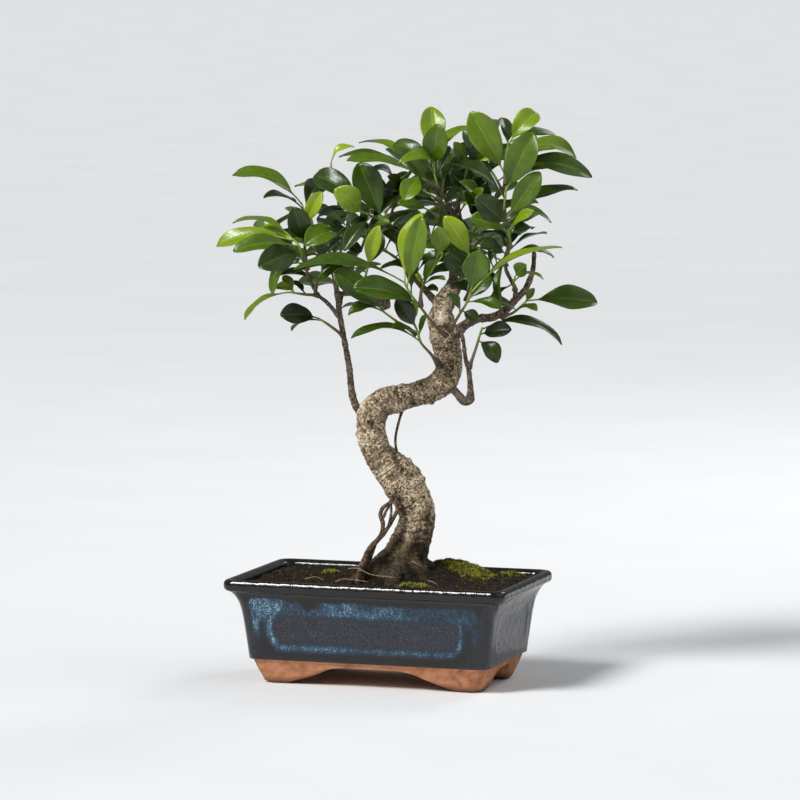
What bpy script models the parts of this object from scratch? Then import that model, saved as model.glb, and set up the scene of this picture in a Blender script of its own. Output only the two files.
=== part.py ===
"""A small-leaved fig grown as a bonsai, standing in a glazed rectangular pot.

Run with blender --background --python part.py.  Metres, +Z up, X along the pot's long side.

The pot, soil and moss are laid out in millimetres about the pot's centre.  The tree is laid out
like an elevation drawing, in centimetres: u runs right, v runs up and w runs out of the drawing
toward an eye that stands EYE_DISTANCE in front of the pot, EYE_HEIGHT above the bench and
DRAWING_TURN round from the pot's long side.  A leaf drawn at depth w is slid along its sight line.
"""
import math

import bmesh
import bpy
import numpy as np
from mathutils import Vector
from mathutils.bvhtree import BVHTree

MM = 0.001
CM = 0.01
GAP = 0.0003                     # clearance between touching pieces
SLIVERS = (1e-6, 1e-5, 2e-4)     # edge lengths to collapse after a Boolean

# the drawing's eye
EYE_DISTANCE = 365.5             # cm
EYE_HEIGHT = 57.8                # cm
EYE_U = 0.8                      # cm
DRAWING_TURN = math.radians(18.2)
EYE_TILT = math.radians(5.9)

# pot, in mm
POT_HEIGHT = 75.0
RIM_LENGTH = 209.0
RIM_WIDTH = 128.0
BODY_LENGTH = 179.0              # lower edge of the glaze
BODY_WIDTH = 103.5
FOOT_LENGTH = 162.0
FOOT_WIDTH = 84.0
FOOT_BAND = 17.3                 # height of the unglazed band
FOOT_WALL = 9.0
FLOOR_UNDERSIDE = 14.0
FLOOR_TOP = 21.0
# the inside, from the floor up, as (length, width, height)
INSIDE_CORNER = 6.0
INSIDE = [
    (BODY_LENGTH - 14.0, BODY_WIDTH - 14.0, FLOOR_TOP),
    (BODY_LENGTH - 8.0, BODY_WIDTH - 8.0, 36.0),
    (RIM_LENGTH - 15.0, RIM_WIDTH - 15.0, POT_HEIGHT - 2.0),
]
# the opening between two feet, from the bench up to the middle, as (distance from middle, height)
LONG_ARCH = [(63, 0.0), (56, 2.4), (48, 4.6), (40, 7.4), (33, 10.6), (26, 12.7), (17, 13.5)]
SHORT_ARCH = [(25, 0.0), (21, 2.6), (16, 7.2), (12, 11.4), (7, 13.4)]
DRAIN_RADIUS = 7.5
DRAIN_SPACING = 84.0
MESH_SIZE = 26.0
MESH_THICKNESS = 1.0

# soil, in mm; each mound is u, w, height, spread
SOIL_LEVEL = 68.0
MOSS_DEPTH = 1.2                 # how far a cushion is sunk before the soil trims it
MOUNDS = [(10, -5, 12.5, 34.0), (47, -16, 10.0, 24.0), (86, -22, 3.5, 17.0)]

# foliage
PETIOLE_SHARE = 0.16             # of the length from twig to tip
PETIOLE_RADIUS = 0.0007
LEAF_THICKNESS = 0.0008
LEAF_FOLD = math.radians(13)
TWIG_SIDES = 5

OLD, MID, NEW = 0.0, 0.5, 1.0    # leaf age, from dark to yellow-green


# ---------------------------------------------------------------- frame of the drawing

def turned(u, w, v):
    """Drawing axes to the pot's axes: u and w lie in plan, v is height."""
    x = u * math.cos(DRAWING_TURN) + w * math.sin(DRAWING_TURN)
    y = u * math.sin(DRAWING_TURN) - w * math.cos(DRAWING_TURN)
    return np.array([x, y, v])


def at(u, v, w):
    """Metres of a point drawn at (u, v) and slid to depth w along its sight line."""
    nearer = (EYE_DISTANCE - w) / EYE_DISTANCE
    drawn_u = EYE_U + (u - EYE_U) * nearer
    drawn_v = EYE_HEIGHT + (v - EYE_HEIGHT) * nearer
    return turned(drawn_u, w, drawn_v) * CM


TO_EYE = turned(0.0, math.cos(EYE_TILT), math.sin(EYE_TILT))


# ---------------------------------------------------------------- scene, materials, meshes

def clear_scene():
    for item in list(bpy.data.objects):
        bpy.data.objects.remove(item, do_unlink=True)


def finish(name, colour, roughness, metallic=0.0):
    material = bpy.data.materials.new(name)
    material.use_nodes = True
    shader = material.node_tree.nodes["Principled BSDF"]
    shader.inputs["Base Color"].default_value = (*colour, 1.0)
    shader.inputs["Roughness"].default_value = roughness
    shader.inputs["Metallic"].default_value = metallic
    return material


def add_object(name, shape, material=None):
    """A new object from (points, faces) in metres."""
    points, faces = shape
    mesh = bpy.data.meshes.new(name)
    mesh.from_pydata([tuple(p) for p in points], [], faces)
    mesh.validate()
    item = bpy.data.objects.new(name, mesh)
    bpy.context.scene.collection.objects.link(item)
    if material:
        mesh.materials.append(material)
        mesh.shade_smooth()
        mesh.set_sharp_from_angle(angle=math.radians(40))
    return item


def shape_of(item):
    """Points and faces of an object as the viewport evaluates it."""
    seen = item.evaluated_get(bpy.context.evaluated_depsgraph_get()).to_mesh()
    points = np.array([v.co[:] for v in seen.vertices])
    faces = [tuple(polygon.vertices) for polygon in seen.polygons]
    return points, faces


def boolean(shape, others, operation):
    """The faces that a Boolean of one shape with several at once leaves."""
    base = add_object("base", shape)
    operands = bpy.data.collections.new("operands")
    tools = [add_object("tool", other) for other in others]
    for tool in tools:
        operands.objects.link(tool)
    cut = base.modifiers.new("cut", "BOOLEAN")
    cut.operation = operation
    cut.solver = "EXACT"
    cut.operand_type = "COLLECTION"
    cut.collection = operands
    result = shape_of(base)
    for item in [base] + tools:
        bpy.data.objects.remove(item, do_unlink=True)
    bpy.data.collections.remove(operands)
    return result


def combine(shape, others, operation):
    """A Boolean, closed: edges that nearly meet are collapsed, or parted by a hair's shift."""
    points, faces = shape
    for sliver in SLIVERS:
        for nudge in range(6):
            moved = points + np.array([0.7, -0.4, 0.5]) * nudge * 1e-5
            result = tidy(boolean((moved, faces), others, operation), sliver)
            if is_closed(result[1]):
                return result
    raise ValueError("a Boolean left an open shape")


def largest_body(shape):
    """The connected part of a shape with the most faces."""
    points, faces = shape
    owner = list(range(len(points)))

    def root(i):
        while owner[i] != i:
            i = owner[i]
        return i

    for a, b, c in faces:
        owner[root(a)] = owner[root(b)]
        owner[root(b)] = owner[root(c)]
    bodies = [root(face[0]) for face in faces]
    largest = max(set(bodies), key=bodies.count)
    kept = [face for face, body in zip(faces, bodies) if body == largest]
    used = sorted({i for face in kept for i in face})
    place = {old: new for new, old in enumerate(used)}
    return points[used], [tuple(place[i] for i in face) for face in kept]


def is_closed(faces):
    """Whether every edge is shared by just two faces that run along it in opposite directions."""
    runs = [(face[i - 1], face[i]) for face in faces for i in range(len(face))]
    known = set(runs)
    return len(known) == len(runs) and all((b, a) in known for a, b in runs)


def tidy(shape, sliver):
    """Collapses the slivers that a Boolean leaves and cuts every face into triangles."""
    points, faces = shape
    grid = bmesh.new()
    verts = [grid.verts.new(point) for point in points]
    for face in faces:
        grid.faces.new([verts[i] for i in face])
    bmesh.ops.dissolve_degenerate(grid, edges=grid.edges, dist=sliver)
    bmesh.ops.triangulate(grid, faces=grid.faces, ngon_method="BEAUTY")
    grid.verts.index_update()
    points = np.array([v.co[:] for v in grid.verts])
    faces = [tuple(v.index for v in f.verts) for f in grid.faces]
    grid.free()
    return points, faces


def loft(rings):
    """A closed solid through rings of equal count, each given anticlockwise seen from its end."""
    count = len(rings[0])
    points = np.vstack(rings)
    faces = []
    for r in range(len(rings) - 1):
        for i in range(count):
            j = (i + 1) % count
            low, high = r * count, (r + 1) * count
            faces.append((low + i, low + j, high + j, high + i))
    faces.append(tuple(reversed(range(count))))
    faces.append(tuple(range(len(points) - count, len(points))))
    return points, faces


# ---------------------------------------------------------------- pot

def rounded_rectangle(length, width, corner, z, arc_steps=4):
    """Anticlockwise ring in mm, with quarter-circle corners."""
    ring = []
    for quarter in range(4):
        sx = 1 if quarter in (0, 3) else -1
        sy = 1 if quarter in (0, 1) else -1
        for step in range(arc_steps + 1):
            angle = math.pi / 2 * (quarter + step / arc_steps)
            x = sx * (length / 2 - corner) + corner * math.cos(angle)
            y = sy * (width / 2 - corner) + corner * math.sin(angle)
            ring.append((x, y, z))
    return np.array(ring) * MM


def arch_cutter(arch, reach, along_x):
    """A bar with the arch's outline, which runs right through under the pot."""
    half = [(arch[0][0], -2.0)] + arch
    outline = half + [(-across, z) for across, z in reversed(half)]
    rings = []
    for end in (reach, -reach):
        ring = [(across, end, z) for across, z in outline]
        rings.append(np.array(ring) * MM)
    if along_x:
        rings = [ring[:, [1, 0, 2]] for ring in reversed(rings)]
    return loft(rings)


def cylinder(x, y, radius, low, high, sides):
    turn = np.linspace(0, 2 * math.pi, sides, endpoint=False)
    ring = np.stack([x + radius * np.cos(turn), y + radius * np.sin(turn), 0 * turn], axis=1)
    return loft([(ring + (0, 0, low)) * MM, (ring + (0, 0, high)) * MM])


def pot_shape():
    """One shell of rounded rectangles: up the outside, over the rolled rim, down to the floor."""
    skirt_length = FOOT_LENGTH - 2 * FOOT_WALL
    skirt_width = FOOT_WIDTH - 2 * FOOT_WALL
    neck_length, neck_width = RIM_LENGTH - 9.5, RIM_WIDTH - 8.5
    sections = [
        (skirt_length, skirt_width, 5, FLOOR_UNDERSIDE),
        (skirt_length, skirt_width, 5, 0.0),
        (FOOT_LENGTH, FOOT_WIDTH, 9, 0.0),
        (BODY_LENGTH - 3.5, BODY_WIDTH - 3.5, 8, FOOT_BAND - 0.6),
        (BODY_LENGTH, BODY_WIDTH, 8, FOOT_BAND + 0.6),
        (BODY_LENGTH + 4.5, BODY_WIDTH + 4.0, 8, 38.0),
        (BODY_LENGTH + 9.0, BODY_WIDTH + 8.0, 8, 53.0),
        (neck_length, neck_width, 8, 63.0),
        (RIM_LENGTH - 3.0, RIM_WIDTH - 3.0, 8, 67.3),
        (RIM_LENGTH, RIM_WIDTH, 8, 70.6),
        (RIM_LENGTH - 1.8, RIM_WIDTH - 1.8, 8, 73.7),
        (RIM_LENGTH - 7.0, RIM_WIDTH - 7.0, 7, POT_HEIGHT),
    ]
    sections += [(length, width, INSIDE_CORNER, z) for length, width, z in reversed(INSIDE)]
    rings = [rounded_rectangle(*section) for section in sections]
    shell = loft(rings)
    cutters = [
        arch_cutter(LONG_ARCH, RIM_WIDTH / 2, False),
        arch_cutter(SHORT_ARCH, RIM_LENGTH / 2, True),
    ]
    for side in (-1, 1):
        cutters.append(cylinder(side * DRAIN_SPACING / 2, 0, DRAIN_RADIUS, 8.0, 28.0, 16))
    return combine(shell, cutters, "DIFFERENCE")


def drain_mesh_shape(x):
    """A square of coarse plastic netting: strands between two rows of two openings."""
    cells = 5
    size = MESH_SIZE / cells
    low = FLOOR_TOP + GAP / MM
    high = low + MESH_THICKNESS
    grid = bmesh.new()
    corners = {}
    for i in range(cells + 1):
        for j in range(cells + 1):
            place = (x - MESH_SIZE / 2 + i * size, -MESH_SIZE / 2 + j * size, low)
            corners[i, j] = grid.verts.new(Vector(place) * MM)
    strands = []
    for i in range(cells):
        for j in range(cells):
            if i % 2 == 1 and j % 2 == 1:
                continue
            square = [corners[i, j], corners[i + 1, j], corners[i + 1, j + 1], corners[i, j + 1]]
            strands.append(grid.faces.new(square))
    raised = bmesh.ops.extrude_face_region(grid, geom=strands, use_keep_orig=True)
    lifted = [v for v in raised["geom"] if isinstance(v, bmesh.types.BMVert)]
    bmesh.ops.translate(grid, verts=lifted, vec=(0, 0, (high - low) * MM))
    bmesh.ops.recalc_face_normals(grid, faces=grid.faces)
    bmesh.ops.triangulate(grid, faces=grid.faces)
    grid.verts.index_update()
    points = np.array([v.co[:] for v in grid.verts])
    faces = [tuple(v.index for v in f.verts) for f in grid.faces]
    grid.free()
    return points, faces


# ---------------------------------------------------------------- soil and moss

def soil_height(x, y):
    """Height in mm: a bed with low mounds at and right of the trunk and slight hollows."""
    height = SOIL_LEVEL + 0.7 * np.sin(x / 13.0 + 0.6) * np.cos(y / 11.0)
    for u, w, rise, spread in MOUNDS:
        centre = turned(u, w, 0.0)
        away = (x - centre[0]) ** 2 + (y - centre[1]) ** 2
        height = height + rise * np.exp(-away / spread ** 2)
    return height


def soil_shape(growing):
    """The root ball: the pot's inside less the clearance, domed on top, cut round what grows."""
    clear = 2 * GAP / MM + 0.3
    heights = [z for _, _, z in INSIDE]
    rings = []
    for z in (FLOOR_TOP + 2.0, INSIDE[1][2], SOIL_LEVEL - 2.5):
        length = np.interp(z, heights, [section[0] for section in INSIDE]) - clear
        width = np.interp(z, heights, [section[1] for section in INSIDE]) - clear
        rings.append(rounded_rectangle(length, width, INSIDE_CORNER, z))
    for share in (1.0, 0.84, 0.68, 0.53, 0.39, 0.26, 0.13, 0.03):
        inner = rings[2].copy()
        inner[:, :2] *= share
        inner[:, 2] = soil_height(inner[:, 0] / MM, inner[:, 1] / MM) * MM
        rings.append(inner)
    return largest_body(combine(loft(rings), growing, "DIFFERENCE"))


MOSS = {
    # centre u and w in cm, half-length, half-width, turn in degrees, thickness in mm
    "moss_right": (5.4, -0.9, 2.1, 1.15, -35, 3.2),
    "moss_front": (1.7, 4.1, 1.15, 0.45, -6, 2.2),
    "moss_left": (-4.2, -3.6, 0.6, 0.45, 20, 2.0),
    "moss_back": (8.7, -1.5, 0.75, 0.5, 15, 2.6),
}


def moss_shape(u, w, half_length, half_width, turn, thickness):
    """A low cushion on the soil with a wavy edge, flat side down."""
    sides = 12
    angle = np.linspace(0, 2 * math.pi, sides, endpoint=False)
    wavy = 1 + 0.10 * np.sin(3 * angle + u) + 0.06 * np.sin(5 * angle + w)
    along = half_length * wavy * np.cos(angle)
    across = half_width * wavy * np.sin(angle)
    spin = math.radians(turn)
    plan_u = along * math.cos(spin) - across * math.sin(spin)
    plan_w = -along * math.sin(spin) - across * math.cos(spin)

    def ring(share, height):
        x, y, _ = turned((u + plan_u * share) * 10, (w + plan_w * share) * 10, 0 * angle)
        return np.stack([x, y, soil_height(x, y) + height], axis=1) * MM

    under = [ring(share, -MOSS_DEPTH) for share in (0.3, 0.7, 1.0)]
    over = [ring(0.97, thickness * 0.4), ring(0.75, thickness * 0.85), ring(0.35, thickness)]
    return loft(under + over)


# ---------------------------------------------------------------- wood

def smooth_path(points, spacing):
    """Catmull-Rom curve through (u, v, w, radius) rows in cm, as metres and radii."""
    rows = np.array(points, dtype=float)
    ends = np.vstack([2 * rows[0] - rows[1], rows, 2 * rows[-1] - rows[-2]])
    curve = []
    for k in range(1, len(ends) - 2):
        a, b, c, d = ends[k - 1:k + 3]
        length = np.linalg.norm((c - b)[:3])
        steps = max(1, int(round(length / spacing)))
        for t in np.arange(steps) / steps:
            curve.append(0.5 * (2 * b + (c - a) * t + (2 * a - 5 * b + 4 * c - d) * t ** 2
                                + (3 * b - a - 3 * c + d) * t ** 3))
    curve.append(rows[-1])
    curve = np.array(curve)
    places = np.array([at(*row[:3]) for row in curve])
    return places, curve[:, 3] * CM


def tube(places, radii, sides):
    """A round rod along a path, its rings carried without twist."""
    ahead = np.gradient(places, axis=0)
    ahead /= np.linalg.norm(ahead, axis=1)[:, None]
    side = np.cross(ahead[0], (0.3, 0.9, 0.2))
    turn = np.linspace(0, 2 * math.pi, sides, endpoint=False)
    rings = []
    for place, along, radius in zip(places, ahead, radii):
        side = side - along * np.dot(side, along)
        side /= np.linalg.norm(side)
        up = np.cross(along, side)
        spokes = np.outer(np.cos(turn), side) + np.outer(np.sin(turn), up)
        rings.append(place + radius * spokes)
    return loft(rings)


TRUNK = [
    # u, v, w, radius in cm, from inside the root ball up the S to the cut top
    (0.7, 5.6, 0.0, 2.30), (0.75, 6.6, 0.0, 2.55), (0.75, 7.5, 0.0, 2.40), (1.05, 8.4, 0.0, 1.82),
    (1.4, 9.4, 0.1, 1.52), (1.75, 10.4, 0.2, 1.38), (2.0, 11.4, 0.3, 1.31),
    (1.85, 12.5, 0.3, 1.27), (1.35, 13.5, 0.1, 1.37), (0.8, 14.4, -0.1, 1.42),
    (0.0, 15.3, -0.2, 1.24), (-0.75, 16.2, 0.0, 1.06), (-1.15, 17.2, 0.2, 1.02),
    (-1.25, 18.2, 0.3, 1.02), (-1.1, 19.15, 0.2, 1.06), (-0.4, 19.85, 0.1, 1.02),
    (0.8, 20.15, 0.0, 0.95), (2.1, 20.5, 0.0, 0.88), (3.25, 20.9, 0.1, 0.95),
    (4.05, 21.6, 0.2, 1.02), (4.3, 22.6, 0.1, 0.95), (4.15, 23.6, 0.0, 1.00),
    (3.95, 24.7, 0.0, 1.08), (3.7, 25.8, 0.0, 0.92), (3.75, 26.8, -0.1, 0.66),
    (4.2, 27.7, -0.2, 0.52), (4.6, 28.2, -0.3, 0.40),
]
# the swelling of the bend, which hangs over the neck below it
LOBE = [(0.15, 15.0, 0.2, 0.95), (0.55, 14.2, 0.45, 0.98), (0.85, 13.5, 0.6, 0.85), (1.1, 13.0, 0.6, 0.6)]
SURFACE_ROOTS = [
    [(0.2, 8.4, 0.6, 0.75), (-1.2, 7.7, 1.3, 0.62), (-2.6, 6.9, 1.6, 0.40), (-3.6, 6.2, 1.5, 0.22)],
    [(0.9, 8.2, 1.0, 0.80), (0.4, 7.3, 2.2, 0.62), (-0.2, 6.5, 3.2, 0.35)],
    [(1.4, 8.4, 0.8, 0.70), (2.4, 7.5, 1.7, 0.55), (3.0, 6.5, 2.6, 0.30)],
    [(1.6, 8.6, -0.2, 0.70), (3.0, 7.9, -0.6, 0.50), (4.3, 6.9, -0.9, 0.28)],
    [(0.6, 8.4, -0.8, 0.75), (0.2, 7.6, -2.2, 0.60), (0.0, 6.6, -3.3, 0.32)],
]
AERIAL_ROOTS = [
    [(0.0, 12.4, 1.15, 0.13), (-0.45, 11.9, 1.5, 0.15), (-0.55, 11.0, 1.7, 0.16),
     (-0.75, 10.2, 1.8, 0.17), (-1.25, 9.3, 2.0, 0.20), (-1.75, 8.35, 2.25, 0.22),
     (-2.1, 7.5, 2.4, 0.20), (-2.3, 6.3, 2.5, 0.15)],
    [(0.35, 12.35, 1.45, 0.11), (0.45, 11.8, 1.75, 0.13), (0.15, 10.9, 1.85, 0.13),
     (-0.25, 10.0, 1.95, 0.16), (-0.75, 9.5, 2.0, 0.17), (-1.25, 9.2, 2.05, 0.16)],
]
HANGING_ROOT = [(1.05, 19.6, 0.0, 0.10), (0.75, 18.6, 0.0, 0.09), (0.5, 17.5, 0.0, 0.09),
                (0.5, 16.7, -0.05, 0.09), (0.65, 16.1, -0.1, 0.1), (0.8, 15.5, -0.15, 0.1)]

# each branch is what carries it, then u, v, w, radius in cm from inside the carrier outward
BRANCHES = {
    "left_branch": ("trunk", [
        (-1.3, 18.7, -0.2, 0.33), (-2.0, 19.1, -0.1, 0.29), (-2.45, 19.9, -0.1, 0.26),
        (-2.65, 20.8, 0.0, 0.24), (-2.8, 22.3, 0.1, 0.22), (-3.15, 24.3, 0.2, 0.20),
        (-3.45, 26.0, 0.1, 0.19), (-3.65, 27.6, 0.0, 0.19), (-3.95, 29.3, -0.1, 0.17)]),
    "left_fork": ("left_branch", [
        (-3.45, 25.9, 0.1, 0.15), (-4.35, 26.95, 0.5, 0.14), (-5.0, 27.5, 0.8, 0.13),
        (-5.4, 28.2, 1.1, 0.12), (-5.85, 29.1, 1.4, 0.11)]),
    "knob_branch": ("left_branch", [
        (-3.6, 27.6, 0.0, 0.14), (-2.8, 27.6, -0.1, 0.15), (-2.0, 27.65, -0.3, 0.16),
        (-1.0, 27.6, -0.5, 0.20), (-0.55, 27.4, -0.6, 0.42), (-0.3, 26.9, -0.6, 0.45),
        (-0.15, 26.5, -0.6, 0.25)]),
    "right_bough": ("trunk", [
        (4.2, 24.1, 0.1, 0.46), (4.75, 24.7, 0.2, 0.42), (5.3, 25.3, 0.3, 0.36),
        (6.2, 25.8, 0.5, 0.32), (7.4, 25.95, 0.6, 0.29), (8.3, 26.45, 0.6, 0.28),
        (9.0, 27.2, 0.5, 0.26), (9.6, 27.8, 0.3, 0.22), (10.0, 28.6, 0.2, 0.20),
        (10.25, 29.5, 0.0, 0.17), (10.3, 30.6, -0.1, 0.15)]),
    "right_fork": ("right_bough", [
        (9.0, 27.1, 0.5, 0.17), (8.95, 28.0, 0.6, 0.15), (8.6, 28.7, 0.8, 0.14),
        (8.3, 29.4, 1.0, 0.13), (8.35, 30.2, 1.2, 0.12)]),
    "loop_root": ("trunk", [
        (4.2, 21.2, 0.4, 0.32), (4.85, 20.5, 0.7, 0.28), (5.35, 19.95, 1.0, 0.30),
        (5.75, 20.1, 1.1, 0.34), (5.8, 20.8, 1.1, 0.22), (5.7, 22.0, 1.1, 0.18),
        (5.45, 23.0, 1.1, 0.16), (5.3, 24.2, 1.1, 0.14)]),
    "leader": ("trunk", [
        (4.5, 28.0, -0.3, 0.38), (4.6, 28.9, -0.6, 0.32), (4.5, 30.4, -0.9, 0.26),
        (4.7, 32.0, -1.0, 0.23), (4.7, 33.3, -0.8, 0.20)]),
    "crown_left_branch": ("trunk", [
        (3.8, 26.4, -0.2, 0.28), (3.0, 27.4, -0.9, 0.25), (2.2, 28.3, -1.4, 0.22),
        (1.1, 29.8, -0.9, 0.19), (0.6, 31.2, -0.1, 0.16), (0.3, 32.2, 0.6, 0.13)]),
    "back_bough": ("trunk", [
        (3.9, 25.4, -0.2, 0.36), (4.2, 26.4, -1.5, 0.33), (4.6, 27.3, -2.6, 0.28),
        (5.2, 28.8, -4.2, 0.22), (5.4, 30.6, -5.2, 0.17), (5.2, 32.4, -5.8, 0.13)]),
}


# ---------------------------------------------------------------- foliage

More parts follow.
